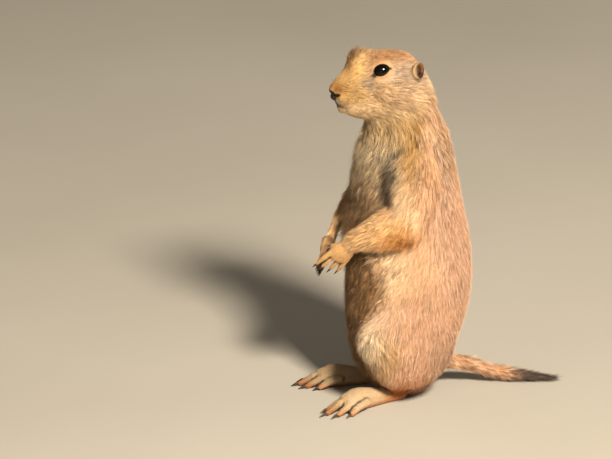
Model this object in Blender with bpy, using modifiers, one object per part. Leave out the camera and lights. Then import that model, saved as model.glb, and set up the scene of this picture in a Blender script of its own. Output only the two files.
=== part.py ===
"""A black-tailed prairie dog standing upright, as a still life-size model.

Axes: +Z is up, the animal faces -Y and its left side is +X.  The origin lies on the
floor, in the middle of the bounding box.  Rows of sizes below are in millimetres in
the body frame, whose origin is on the floor under the middle of the trunk, and the
head's rows are in its own frame.  The outer faces are the tips of the short coat.
"""

import math

import bmesh
import bpy
import numpy as np
from mathutils import Matrix, Vector

MM = 0.001

# Driving dimensions, in millimetres.
TRUNK_HEIGHT = 250.0  # floor to the skull's base, inside the head
TRUNK_HALF_DEPTH = 47.5  # at the belly, its deepest
TRUNK_HALF_WIDTH = 42.5  # at the flanks, without the haunches
HEAD_YAW_DEG = -10.0  # the head turns a little to the animal's right
HEAD_ROLL_DEG = -12.0  # and tips that way, so that the left ear is the higher
HEAD_PLACE = Vector((0.0, 8.0, 264.0))  # between the ears, level with the eyes
EYE_RADIUS = 6.6
EYE_PLACE = Vector((13.8, -29.1, -7.2))  # left eye, in the head frame
EYE_LOOK = Vector((0.93, -0.27, 0.20))  # the way the left eye faces
FOOT_LENGTH = 65.0  # heel to the end of the longest toe, without its claw

GAP = 0.42  # between neighbouring pieces
SIDES = 28  # of a loft
FLOOR_CUT = 40.0  # depth of the block that trims soles and rump flat at the floor
HEAD_TRIANGLES = 7400  # of the whole body, where the head is cut from it
TRUNK_TRIANGLES = 3700  # of the whole body, where the trunk is cut from it
AFTER_CUTS = 0.75  # share of a node's triangles that stays once its cuts are made
SPLIT_REACH = 300.0  # half size of the blocks that part the body at a plane

# Trunk stations: share of TRUNK_HEIGHT, shift back, shares of half depth and width.
TRUNK_ROWS = (
    (-0.025, 2.0, 0.19, 0.24),
    (0.030, 3.6, 0.41, 0.46),
    (0.080, 2.0, 0.70, 0.72),
    (0.145, -1.0, 0.825, 0.89),
    (0.210, -1.0, 0.905, 0.96),
    (0.290, 1.5, 0.985, 1.00),
    (0.370, 3.0, 1.010, 1.00),
    (0.450, 3.0, 0.985, 1.00),
    (0.530, 1.0, 0.960, 0.96),
    (0.613, -0.4, 0.900, 0.90),
    (0.694, -1.2, 0.850, 0.85),
    (0.775, -1.5, 0.770, 0.78),
    (0.840, -2.6, 0.660, 0.69),
    (0.890, -4.6, 0.600, 0.63),
    (0.940, -4.2, 0.500, 0.57),
    (1.000, -5.5, 0.340, 0.44),
)

# Haunches: side, then centre and half sizes of the thigh's oval and of the knee.
HAUNCHES = (
    (1, (30.0, -7.0, 50.5), (19.0, 38.0, 38.5), (33.0, -33.0, 58.0), (13.0, 17.0, 19.0)),
    (-1, (30.0, -1.0, 50.5), (19.0, 36.0, 38.5), (31.0, -20.0, 58.0), (13.0, 15.0, 19.0)),
)
HAUNCH_LEAN_DEG = -14.0
THIGH_REGION_SHIFT = Vector((16.4, -3.3, 0.4))  # of the cut's oval from the thigh's
THIGH_REGION_HALF = Vector((26.2, 49.3, 44.3))
REGION_GROWTH = (3.2, 3.2, 3.2, 3.2)  # how far a limb's cut stands off it, at each row
END_REGION_GROWTH = (3.2, 2.2, 1.2, 0.8)  # the same where the limb's end hangs free
REGION_DETAIL = {"sides": 12, "steps": 1, "rings": 3}

# Planes of the thin cuts, in the body frame: a point and a normal.
HEAD_CUT = (Vector((0.0, -5.0, 233.0)), Vector((0.0, -0.42, 0.91)))
NECK_CUT = (Vector((0.0, 0.0, 205.0)), Vector((0.0, -0.16, 0.99)))

# Head frame: x is left, -y is forward, z is up, and zero is between the ears.
# Each row: forward, up, half height, half width.
SKULL_ROWS = (
    (65.0, -20.8, 3.0, 4.4),
    (62.5, -20.6, 6.4, 7.0),
    (59.0, -19.8, 9.8, 9.4),
    (56.0, -18.6, 12.0, 11.4),
    (53.8, -17.0, 14.6, 12.9),
    (52.0, -15.4, 18.5, 14.2),
    (49.5, -14.2, 20.8, 15.6),
    (45.0, -13.4, 19.7, 17.0),
    (37.0, -12.2, 19.0, 18.7),
    (28.0, -12.4, 19.8, 20.3),
    (20.0, -13.0, 20.2, 21.4),
    (14.0, -13.6, 20.0, 22.0),
    (8.0, -15.0, 19.3, 22.2),
    (3.0, -17.5, 17.5, 21.6),
    (-2.0, -21.0, 16.0, 19.8),
    (-6.0, -24.5, 12.5, 16.5),
    (-9.0, -27.5, 8.0, 11.5),
)
JAW_ROWS = (
    (60.0, -33.4, 2.6, 4.2),
    (57.5, -33.6, 4.4, 6.2),
    (53.5, -34.0, 6.4, 8.2),
    (48.0, -34.0, 8.6, 10.6),
    (42.0, -33.2, 11.0, 13.4),
    (30.0, -32.0, 12.6, 18.4),
    (16.0, -31.0, 13.0, 22.0),
    (3.0, -32.0, 13.0, 20.5),
    (-5.0, -34.5, 10.0, 15.5),
)
# Swellings of the head: name, left, forward, up, then half sizes the same ways.
SIDE_SWELLINGS = (
    ("cheek", 11.5, 17.0, -22.0, 14.0, 20.0, 16.0),
    ("jowl", 10.5, 9.0, -30.0, 13.5, 15.0, 13.0),
    ("whisker_pad", 5.4, 54.5, -26.2, 6.4, 8.6, 5.8),
    ("brow", 11.4, 27.0, -1.6, 7.4, 10.0, 4.4),
)
MIDDLE_SWELLINGS = (
    ("forelock", 0.0, 45.5, 1.3, 10.5, 8.2, 6.2),
    ("snout", 0.0, 61.2, -19.2, 5.0, 5.2, 4.6),
    ("upper_lip", 0.0, 58.6, -29.0, 4.4, 4.6, 3.4),
    ("chin", 0.0, 56.0, -35.3, 5.2, 5.6, 3.6),
)

# Mouth groove, seen from the left: forward, up, left, from the lip's front to its corner.
MOUTH_ROWS = (
    (62.6, -32.6, 0.0),
    (61.2, -33.0, 3.0),
    (58.5, -34.0, 5.6),
    (54.5, -34.6, 8.0),
    (50.0, -33.4, 10.2),
)
MOUTH_GROOVE = 0.75  # half height of the groove
MOUTH_DEPTH = 1.9  # half depth, across the lip
NOSTRIL_PLACE = Vector((4.2, -60.6, -25.0))
NOSTRIL_HALF = Vector((1.2, 3.2, 1.1))
NOSE_PAD_PLACE = Vector((0.0, -61.8, -25.8))
NOSE_PAD_HALF = Vector((4.2, 4.0, 3.5))

LID_THICKNESS = 1.3
LID_OPENING_LONG = 6.3  # half length of the almond between the lids
LID_OPENING_HIGH = 4.5
LID_TILT_DEG = 16.0  # the front corner of the eye is the lower one

EAR_PLACE = Vector((20.8, -3.4, -7.6))
EAR_DROP = 2.5  # how much lower the right ear is held
EAR_HALF = Vector((3.2, 4.5, 6.8))
EAR_WALL = 1.25
EAR_OPENING_SHIFT = Vector((2.7, -1.3, 0.3))

# Tail: left, back, up, half width, half height.
TAIL_ROWS = (
    (0.0, 27.0, 23.0, 8.0, 7.5),
    (0.0, 41.0, 18.5, 7.2, 6.4),
    (3.0, 60.0, 12.2, 6.8, 6.0),
    (8.0, 79.0, 6.8, 6.8, 5.6),
    (13.0, 96.0, 4.4, 5.6, 4.7),
    (16.8, 106.5, 3.3, 3.6, 3.1),
    (19.3, 114.5, 2.5, 0.9, 0.9),
)
TAIL_CUT = (Vector((8.5, 80.5, 7.0)), Vector((0.26, 0.93, -0.26)))


# ---------------------------------------------------------------- mesh tools


def clear_scene():
    """Remove every object, so that the file holds this model alone."""
    for obj in list(bpy.data.objects):
        bpy.data.objects.remove(obj, do_unlink=True)


def new_collection(name):
    """Add a collection for one kind of object."""
    collection = bpy.data.collections.new(name)
    bpy.context.scene.collection.children.link(collection)
    return collection


def add_mesh(name, bm, collection):
    """Turn a bmesh in millimetres into an object in metres."""
    bm.normal_update()
    bmesh.ops.recalc_face_normals(bm, faces=bm.faces)
    if bm.calc_volume(signed=True) < 0:
        bmesh.ops.reverse_faces(bm, faces=bm.faces)
    bm.transform(Matrix.Scale(MM, 4))
    mesh = bpy.data.meshes.new(name)
    bm.to_mesh(mesh)
    bm.free()
    obj = bpy.data.objects.new(name, mesh)
    collection.objects.link(obj)
    return obj


def spline(rows, steps):
    """Rows on a Catmull-Rom curve through the given rows, steps to each span."""
    rows = np.array(rows, float)
    ends = np.vstack([2 * rows[0] - rows[1], rows, 2 * rows[-1] - rows[-2]])
    smooth = []
    for before, start, end, after in zip(ends, ends[1:], ends[2:], ends[3:]):
        for t in np.arange(steps) / steps:
            bend = 2 * before - 5 * start + 4 * end - after
            twist = 3 * (start - end) + after - before
            smooth.append(start + 0.5 * t * (end - before + t * (bend + t * twist)))
    return np.vstack([smooth, rows[-1]])


def rounded_ends(rows, rings, blunt):
    """Add shrinking rows that round off both ends of a loft."""
    first_way = rows[0, :3] - rows[1, :3]
    last_way = rows[-1, :3] - rows[-2, :3]
    angles = np.arange(1, rings) / rings * math.pi / 2

    def cap(row, way):
        reach = blunt * row[3:].min() * way / np.linalg.norm(way)
        return [
            np.concatenate([row[:3] + reach * math.sin(a), row[3:] * math.cos(a)])
            for a in angles
        ], row[:3] + reach

    first, first_pole = cap(rows[0], first_way)
    last, last_pole = cap(rows[-1], last_way)
    return np.vstack([first[::-1], rows, last]), first_pole, last_pole


def loft(
    name,
    rows,
    collection,
    across=(1, 0, 0),
    facing=None,
    sides=SIDES,
    steps=3,
    rings=4,
    blunt=1.0,
):
    """A closed tube of oval sections.  Each row is x, y, z, half across, half deep.

    The sections stand square to the tube's run, or to the way that facing gives.
    """
    rows, first_pole, last_pole = rounded_ends(spline(rows, steps), rings, blunt)
    ways = np.gradient(rows[:, :3], axis=0)
    if facing:
        ways[:] = facing
    bm = bmesh.new()
    rings = []
    for row, way in zip(rows, ways):
        way = Vector(way).normalized()
        side = (Vector(across) - way * way.dot(Vector(across))).normalized()
        deep = way.cross(side)
        ring = []
        for k in range(sides):
            turn = 2 * math.pi * k / sides
            off = side * (row[3] * math.cos(turn)) + deep * (row[4] * math.sin(turn))
            ring.append(bm.verts.new(Vector(row[:3]) + off))
        rings.append(ring)
    for low, high in zip(rings, rings[1:]):
        for k in range(sides):
            bm.faces.new((low[k - 1], low[k], high[k], high[k - 1]))
    for ring, pole in ((rings[0], first_pole), (rings[-1], last_pole)):
        point = bm.verts.new(Vector(pole))
        for k in range(sides):
            bm.faces.new((ring[k - 1], ring[k], point))
    return add_mesh(name, bm, collection)


def ball(name, place, half, collection, turn=None, rings=(24, 16)):
    """An ellipsoid with the given half sizes, turned and then placed."""
    bm = bmesh.new()
    bmesh.ops.create_uvsphere(bm, u_segments=rings[0], v_segments=rings[1], radius=1)
    size = Matrix.Diagonal((*half, 1.0))
    turned = (turn or Matrix.Identity(3)).to_4x4()
    bm.transform(Matrix.Translation(place) @ turned @ size)
    return add_mesh(name, bm, collection)


def slab(name, plane, half_width, collection, thick=GAP):
    """A thin plate that parts a body along a plane."""
    point, normal = plane
    bm = bmesh.new()
    bmesh.ops.create_cube(bm, size=2)
    size = Matrix.Diagonal((half_width, half_width, thick / 2, 1.0))
    turn = Vector(normal).to_track_quat("Z", "Y").to_matrix().to_4x4()
    bm.transform(Matrix.Translation(point) @ turn @ size)
    return add_mesh(name, bm, collection)


def apply_modifiers(obj):
    """Replace the object's mesh by its evaluated one."""
    graph = bpy.context.evaluated_depsgraph_get()
    mesh = bpy.data.meshes.new_from_object(obj.evaluated_get(graph))
    obj.modifiers.clear()
    obj.data = mesh
    return obj


def copy_of(obj, name, collection):
    """A separate copy with a mesh of its own."""
    twin = bpy.data.objects.new(name, obj.data.copy())
    collection.objects.link(twin)
    return twin


def discard(*objects):
    """Remove objects that have served their purpose."""
    for obj in objects:
        bpy.data.objects.remove(obj, do_unlink=True)


def volume_of(faces):
    """Six times the signed volume under a set of bmesh faces."""
    total = 0.0
    for face in faces:
        first = face.verts[0].co
        for a, b in zip(face.verts[1:], face.verts[2:]):
            total += first.dot(a.co.cross(b.co))
    return total


def shells_of(bm):
    """The separate closed surfaces of a bmesh, as lists of faces."""
    unseen, shells = set(bm.faces), []
    while unseen:
        shell, edge = [], [unseen.pop()]
        while edge:
            face = edge.pop()
            shell.append(face)
            for side in face.edges:
                for other in side.link_faces:
                    if other in unseen:
                        unseen.remove(other)
                        edge.append(other)
        shells.append(shell)
    return shells


def keep_largest(obj):
    """Drop every closed surface of the object but the one with the most volume."""
    bm = bmesh.new()
    bm.from_mesh(obj.data)
    shells = sorted(shells_of(bm), key=volume_of)
    spare = [face for shell in shells[:-1] for face in shell]
    if spare:
        bmesh.ops.delete(bm, geom=spare, context="FACES")
        bm.to_mesh(obj.data)
    bm.free()
    return obj


def is_closed(obj):
    """Whether the object has a surface, and each of its edges joins two faces."""
    bm = bmesh.new()
    bm.from_mesh(obj.data)
    closed = bool(bm.faces) and all(len(edge.link_faces) == 2 for edge in bm.edges)
    bm.free()
    return closed


def boolean(obj, other, operation):
    """Join, cut or intersect with another mesh, which stays."""
    before = obj.data
    for solver in ("EXACT", "MANIFOLD"):
        obj.data = before
        modifier = obj.modifiers.new(operation.title(), "BOOLEAN")
        modifier.operation = operation
        modifier.object = other
        modifier.solver = solver
        apply_modifiers(obj)
        if is_closed(obj):
            return keep_largest(obj)
    raise RuntimeError(f"{operation} with {other.name} spoils {obj.name}")


def union_of(name, pieces, collection):
    """One body from overlapping pieces, by a Boolean on their collection."""
    others = bpy.data.collections.new(name + "_pieces")
    bpy.context.scene.collection.children.link(others)
    for piece in pieces[1:]:
        for home in list(piece.users_collection):
            home.objects.unlink(piece)
        others.objects.link(piece)
    body = copy_of(pieces[0], name, collection)
    modifier = body.modifiers.new("Union", "BOOLEAN")
    modifier.operation = "UNION"
    modifier.operand_type = "COLLECTION"
    modifier.collection = others
    modifier.solver = "EXACT"
    apply_modifiers(body)
    discard(*pieces)
    bpy.data.collections.remove(others)
    return keep_largest(body)


def grown(obj, by, collection):
    """A copy whose surface stands out by a small distance, to cut neighbours with."""
    twin = copy_of(obj, obj.name + "_grown", collection)
    bm = bmesh.new()
    bm.from_mesh(twin.data)
    bm.normal_update()
    for vert in bm.verts:
        vert.co += vert.normal * (min(vert.calc_shell_factor(), 1.4) * by * MM)
    bm.to_mesh(twin.data)
    bm.free()
    return twin


def clear_of(obj, neighbours, helpers, gap=GAP):
    """Cut the object back from its neighbours, leaving the usual gap."""
    for neighbour in neighbours:
        cutter = grown(neighbour, gap, helpers)
        boolean(obj, cutter, "DIFFERENCE")
        discard(cutter)
    return obj


def seated(obj, neighbour, away):
    """Shape the object's root to its neighbour and stand it off by the usual gap."""
    boolean(obj, neighbour, "DIFFERENCE")
    obj.data.transform(Matrix.Translation(away.normalized() * (GAP * MM)))
    return obj


def triangles(obj):
    """How many triangles the object has."""
    obj.data.calc_loop_triangles()
    return len(obj.data.loop_triangles)


def thinned(obj, faces):
    """Bring the object's triangles down to about the given count, and keep it closed."""
    whole = obj.data
    have = triangles(obj)
    for easing in (1.0, 1.03, 1.06, 1.1, 1.15, 1.2):
        ratio = easing * faces / have
        if ratio >= 1:
            break
        obj.data = whole
        modifier = obj.modifiers.new("Decimate", "DECIMATE")
        modifier.ratio = ratio
        modifier.use_collapse_triangulate = True
        apply_modifiers(obj)
        if is_closed(obj):
            return obj
    obj.data = whole
    return obj


def cleaned(obj):
    """Drop the needle-thin faces that cuts leave, and keep the object closed."""
    whole = obj.data
    for shortest in (0.05, 0.02, 0.01):
        bm = bmesh.new()
        bm.from_mesh(whole)
        bmesh.ops.dissolve_degenerate(bm, dist=shortest * MM, edges=bm.edges)
        bmesh.ops.triangulate(bm, faces=bm.faces)
        obj.data = whole.copy()
        bm.to_mesh(obj.data)
        bm.free()
        if is_closed(obj):
            return obj
    obj.data = whole
    return obj


def melted(name, pieces, voxel, soften, collection, firm=None):
    """One smooth skin round overlapping pieces.

    firm may give, for each point in metres, how much of the softening to leave out.
    """
    bm = bmesh.new()
    for piece in pieces:
        bm.from_mesh(piece.data)
    discard(*pieces)
    mesh = bpy.data.meshes.new(name)
    bm.to_mesh(mesh)
    bm.free()
    body = bpy.data.objects.new(name, mesh)
    collection.objects.link(body)
    remesh = body.modifiers.new("Remesh", "REMESH")
    remesh.mode = "VOXEL"
    remesh.voxel_size = voxel * MM
    apply_modifiers(body)
    if firm:
        group = body.vertex_groups.new(name="soft")
        for vert in body.data.vertices:
            group.add([vert.index], 1 - firm(vert.co), "REPLACE")
    smooth = body.modifiers.new("Smooth", "SMOOTH")
    smooth.factor = 0.5
    smooth.iterations = soften
    if firm:
        smooth.vertex_group = "soft"
    apply_modifiers(body)
    body.vertex_groups.clear()
    return keep_largest(body)


# ---------------------------------------------------------------- finishes


def finish(name, colour, roughness):
    """A Principled finish."""
    material = bpy.data.materials.new(name)
    material.use_nodes = True
    shader = material.node_tree.nodes["Principled BSDF"]
    shader.inputs["Base Color"].default_value = (*colour, 1.0)
    shader.inputs["Roughness"].default_value = roughness
    shader.inputs["Metallic"].default_value = 0.0
    material.diffuse_color = (*colour, 1.0)
    return material


def finishes():
    """The finishes by name."""
    return {
        "sandy_coat": finish("sandy_coat", (0.56, 0.36, 0.22), 0.85),
        "pale_coat": finish("pale_coat", (0.66, 0.50, 0.34), 0.85),
        "dark_tail": finish("dark_tail", (0.07, 0.05, 0.045), 0.8),
        "eye": finish("eye", (0.012, 0.009, 0.008), 0.05),
        "claw": finish("claw", (0.03, 0.022, 0.018), 0.35),
        "nose": finish("nose", (0.05, 0.03, 0.025), 0.5),
    }


# ---------------------------------------------------------------- head


def head_frame():
    """The head frame's place in the body frame."""
    yaw = Matrix.Rotation(math.radians(HEAD_YAW_DEG), 4, "Z")
    roll = Matrix.Rotation(math.radians(HEAD_ROLL_DEG), 4, "Y")
    return Matrix.Translation(HEAD_PLACE) @ yaw @ roll


def to_head(*objects):
    """Move objects made in the head frame to their place on the body."""
    frame = head_frame()
    frame.translation *= MM
    for obj in objects:
        obj.data.transform(frame)


def mirrored(vector, side):
    """The vector for the animal's left (1) or right (-1)."""
    return Vector((vector.x * side, vector.y, vector.z))


def head_pieces(helpers):
    """Skull, jaw and swellings, to be melted with the trunk."""
    lofts = []
    for name, rows in (("skull", SKULL_ROWS), ("jaw", JAW_ROWS)):
        rows = [(0, -ahead, up, wide, high) for ahead, up, high, wide in rows]
        lofts.append(loft(name, rows, helpers, facing=(0, 1, 0), blunt=0.8))
    swellings = [(*row[1:], side) for row in SIDE_SWELLINGS for side in (1, -1)]
    swellings += [(*row[1:], 1) for row in MIDDLE_SWELLINGS]
    for left, ahead, up, half_left, half_ahead, half_up, side in swellings:
        place = Vector((left * side, -ahead, up))
        half = Vector((half_left, half_ahead, half_up))
        lofts.append(ball("swelling", place, half, helpers))
    to_head(*lofts)
    return lofts


def eye_turn(side):
    """Rotation whose z is the eye's look and whose x runs along the lids."""
    look = mirrored(EYE_LOOK, side).normalized()
    ahead = Vector((0.0, -1.0, -math.tan(math.radians(LID_TILT_DEG))))
    along = (ahead - look * look.dot(ahead)).normalized()
    return Matrix((along, look.cross(along), look)).transposed()


def make_eye(side, label, nodes):
    """The eyeball."""
    eye = ball(
        "eye_" + label,
        mirrored(EYE_PLACE, side),
        (EYE_RADIUS,) * 3,
        nodes,
        turn=eye_turn(side),
        rings=(16, 9),
    )
    to_head(eye)
    return eye


def add_lids(head, side, helpers):
    """Lids as a thin shell round the eyeball, open in an almond."""
    place = mirrored(EYE_PLACE, side)
    turn = eye_turn(side)
    outer = EYE_RADIUS + LID_THICKNESS
    shell = ball("lids", place, (outer,) * 3, helpers, turn=turn, rings=(20, 12))
    inner = EYE_RADIUS + GAP
    socket = ball("socket", place, (inner,) * 3, helpers, turn=turn, rings=(20, 12))
    look = mirrored(EYE_LOOK, side).normalized()
    half = (LID_OPENING_LONG, LID_OPENING_HIGH, EYE_RADIUS)
    opening = ball("opening", place + look * EYE_RADIUS, half, helpers, turn=turn)
    to_head(shell, socket, opening)
    boolean(head, shell, "UNION")
    boolean(head, opening, "DIFFERENCE")
    boolean(head, socket, "DIFFERENCE")
    discard(shell, socket, opening)


def cut_mouth(head, helpers):
    """The line between the lips, as a groove round the front of the muzzle."""
    left = [(x, -f, u, MOUTH_DEPTH, MOUTH_GROOVE) for f, u, x in MOUTH_ROWS]
    right = [(-x, y, z, a, b) for x, y, z, a, b in left[:0:-1]]
    groove = loft("groove", right + left, helpers, across=(0, -1, 0), sides=10)
    to_head(groove)
    boolean(head, groove, "DIFFERENCE")
    discard(groove)


def cut_nostrils(head, helpers):
    """Nostrils that open sideways behind the nose pad's front."""
    for side in (1, -1):
        slit = ball(
            "slit",
            mirrored(NOSTRIL_PLACE, side),
            NOSTRIL_HALF,
            helpers,
            turn=Matrix.Rotation(math.radians(28 * side), 3, "Z"),
            rings=(12, 8),
        )
        to_head(slit)
        boolean(head, slit, "DIFFERENCE")
        discard(slit)


def make_nose(head, nodes):
    """The bare pad between the nostrils."""
    nose = ball("nose", NOSE_PAD_PLACE, NOSE_PAD_HALF, nodes, rings=(16, 10))
    to_head(nose)
    return seated(nose, head, head_frame().to_3x3() @ Vector((0, -1, 0)))


def make_ear(side, label, head, nodes, helpers):
    """A short round ear, cupped outwards and a little forwards."""
    place = mirrored(EAR_PLACE, side)
    if side < 0:
        place.z -= EAR_DROP
    turn = Matrix.Rotation(math.radians(-12), 3, "X")
    ear = ball("ear_" + label, place, EAR_HALF, nodes, turn=turn, rings=(16, 9))
    hollow = ball(
        "hollow",
        place + mirrored(EAR_OPENING_SHIFT, side),
        EAR_HALF - Vector((0.4, EAR_WALL, EAR_WALL)),
        helpers,
        turn=turn,
        rings=(14, 8),
    )
    to_head(ear, hollow)
    boolean(ear, hollow, "DIFFERENCE")
    discard(hollow)
    return seated(ear, head, head_frame().to_3x3() @ Vector((side, 0, 0)))


# ---------------------------------------------------------------- trunk


def trunk_pieces(helpers):
    """Trunk, haunches and knees before they are melted together."""
    rows = [
        (0, back, share * TRUNK_HEIGHT, wide * TRUNK_HALF_WIDTH, deep * TRUNK_HALF_DEPTH)
        for share, back, deep, wide in TRUNK_ROWS
    ]
    pieces = [loft("trunk", rows, helpers, sides=48)]
    lean = Matrix.Rotation(math.radians(HAUNCH_LEAN_DEG), 3, "X")
    for side, thigh_place, thigh_half, knee_place, knee_half in HAUNCHES:
        for place, half in ((thigh_place, thigh_half), (knee_place, knee_half)):
            place = mirrored(Vector(place), side)
            pieces.append(ball("haunch", place, half, helpers, turn=lean))
    return pieces


def thigh_region(haunch, helpers):
    """The oval that becomes one thigh's node."""
    side, place, _, _, _ = haunch
    lean = Matrix.Rotation(math.radians(HAUNCH_LEAN_DEG), 3, "X")
    middle = mirrored(Vector(place) + THIGH_REGION_SHIFT, side)
    return ball("region", middle, THIGH_REGION_HALF, helpers, lean, (16, 10))


def above(body, plane, name, nodes, helpers):
    """A copy of the body's part on the side that the plane's normal points to."""
    point, normal = plane
    normal = Vector(normal).normalized()
    piece = copy_of(body, name, nodes)
    middle = point + normal * (SPLIT_REACH + GAP / 2)
    block = slab("side", (middle, normal), SPLIT_REACH, helpers, 2 * SPLIT_REACH)
    boolean(piece, block, "INTERSECT")
    discard(block)
    return piece


def below(body, plane, name, nodes, helpers):
    """A copy of the body's part behind the plane."""
    point, normal = plane
    return above(body, (point, -Vector(normal)), name, nodes, helpers)


def part_by(body, region, name, nodes, helpers):
    """Move what lies inside a region to a node of its own, leaving the usual gap."""
    piece = copy_of(body, name, nodes)
    boolean(piece, region, "INTERSECT")
    cutter = grown(region, GAP, helpers)
    boolean(body, cutter, "DIFFERENCE")
    discard(region, cutter)
    return piece


# ---------------------------------------------------------------- limbs


def along(points, halves, extra=(0.0,) * 4):
    """Loft rows through points, with half across and half deep for each."""
    return [
        (*point, across + more, deep + more)
        for point, (across, deep), more in zip(points, halves, extra)
    ]


def make_digit(name, points, halves, collection):
    """One finger or toe from its root over its bend to its tip."""
    rows = along(points, [(half, half) for half in halves])
    return loft(name, rows, collection, (1, 0.2, 0.1), sides=10, steps=2, rings=3)


def make_claw(name, root, tip, sag, thick, collection):
    """A curved claw that tapers to its tip.  sag bends its middle upwards."""
    middle = (root + tip) / 2 + sag
    sizes = ((thick * 0.75, thick), (thick * 0.6, thick * 0.85), (0.28, 0.3))
    rows = along((root, middle, tip), sizes)
    return loft(name, rows, collection, (1, 0.1, 0), sides=6, steps=1, rings=2)


class Arm:
    """One foreleg: upper arm, forearm, hand and claws."""

    FINGER_SPREAD = (-6.6, -2.6, 2.3, 6.8)  # across the palm, thumb side first
    FINGER_LENGTH = (16.5, 16.0, 14.5, 12.5)
    FINGER_HALF = (2.1, 1.9, 1.45)  # half thickness at root, middle and tip
    FINGER_FAN = 0.018  # how much each finger spreads for its place across the palm
    THUMB_LENGTH = 5.0
    CLAW_LENGTH = 5.5

    def __init__(self, label, side, joints, curl, turn_deg, upper_sizes, fore_sizes):
        self.label = label
        self.side = side
        self.shoulder, self.elbow, self.wrist, self.palm = map(Vector, joints)
        self.curl = Vector(curl)  # the way the finger ends bend
        self.upper_sizes = upper_sizes  # half across and half deep, from top to elbow
        self.fore_sizes = fore_sizes  # the same from elbow to wrist
        self.reach = (self.palm - self.wrist).normalized()
        inward = Vector((-side, 0.0, 0.0))
        inward = (inward - self.reach * inward.dot(self.reach)).normalized()
        forward = self.reach.cross(inward)
        if forward.y > 0:
            forward.negate()
        turn = Matrix.Rotation(math.radians(turn_deg), 3, self.reach)
        self.inward = turn @ inward  # the way the palm faces
        self.across = turn @ forward  # from the palm's middle to the thumb's side

    def upper_arm(self, name, collection, extra=(0.0,) * 4, **detail):
        """Shoulder to elbow, with the loose skin over the shoulder."""
        mid = (self.shoulder + self.elbow) / 2 + Vector((self.side * 1.5, 2.0, 0))
        top = self.shoulder + Vector((-self.side * 5.0, 2.0, 10.0))
        points = (top, self.shoulder, mid, self.elbow)
        return loft(name, along(points, self.upper_sizes, extra), collection, **detail)

    def forearm(self, name, collection, extra=(0.0,) * 4, **detail):
        """Elbow to wrist, broad where the elbow's fringe of hair hangs."""
        start = self.elbow + Vector((0, 0, 2.5))
        one = self.elbow.lerp(self.wrist, 0.33) + Vector((0, 0, 3.5))
        two = self.elbow.lerp(self.wrist, 0.72) + Vector((0, 0, 1.0))
        points = (start, one, two, self.wrist)
        rows = along(points, self.fore_sizes, extra)
        return loft(name, rows, collection, blunt=0.7, **detail)

    def finger_points(self):
        """Root, middle and tip of each finger, and of the short thumb."""
        fingers = []
        for spread, length in zip(self.FINGER_SPREAD, self.FINGER_LENGTH):
            root = self.palm + self.across * -spread - self.reach * 3.0
            fan = (self.reach - self.across * (spread * self.FINGER_FAN)).normalized()
            middle = root + fan * (length * 0.55)
            bend = (fan + self.curl * 0.8).normalized()
            fingers.append((root, middle, middle + bend * (length * 0.5)))
        root = self.wrist.lerp(self.palm, 0.5) + self.across * 5.5 + self.inward * 1.0
        way = (self.reach + self.across * 0.6 + self.inward * 0.5).normalized()
        middle = root + way * (self.THUMB_LENGTH * 0.6)
        fingers.append((root, middle, middle + way * (self.THUMB_LENGTH * 0.5)))
        return fingers

    def hand(self, nodes, helpers):
        """Palm with four fingers and a thumb."""
        wide = ((4.6, 6.2), (4.6, 8.2), (3.6, 8.6))
        points = (self.wrist, self.wrist.lerp(self.palm, 0.6), self.palm)
        pieces = [loft("palm", along(points, wide), helpers, self.inward, sides=18)]
        for root, middle, tip in self.finger_points():
            digit = (root, middle, tip)
            pieces.append(make_digit("finger", digit, self.FINGER_HALF, helpers))
        return thinned(union_of("hand_" + self.label, pieces, nodes), 640)

    def claws(self, hand, nodes):
        """Dark digging claws, seated on the finger ends."""
        made = []
        for k, (_, middle, tip) in enumerate(self.finger_points(), 1):
            way = ((tip - middle).normalized() + self.curl * 0.35).normalized()
            length = self.CLAW_LENGTH * (0.75 if k == 5 else 1.0)
            name = f"claw_hand_{self.label}_{k}"
            root = tip - way * 0.4
            claw = make_claw(name, root, tip + way * length, -self.curl * 0.7, 1.0, nodes)
            made.append(seated(claw, hand, way))
        return made


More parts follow.
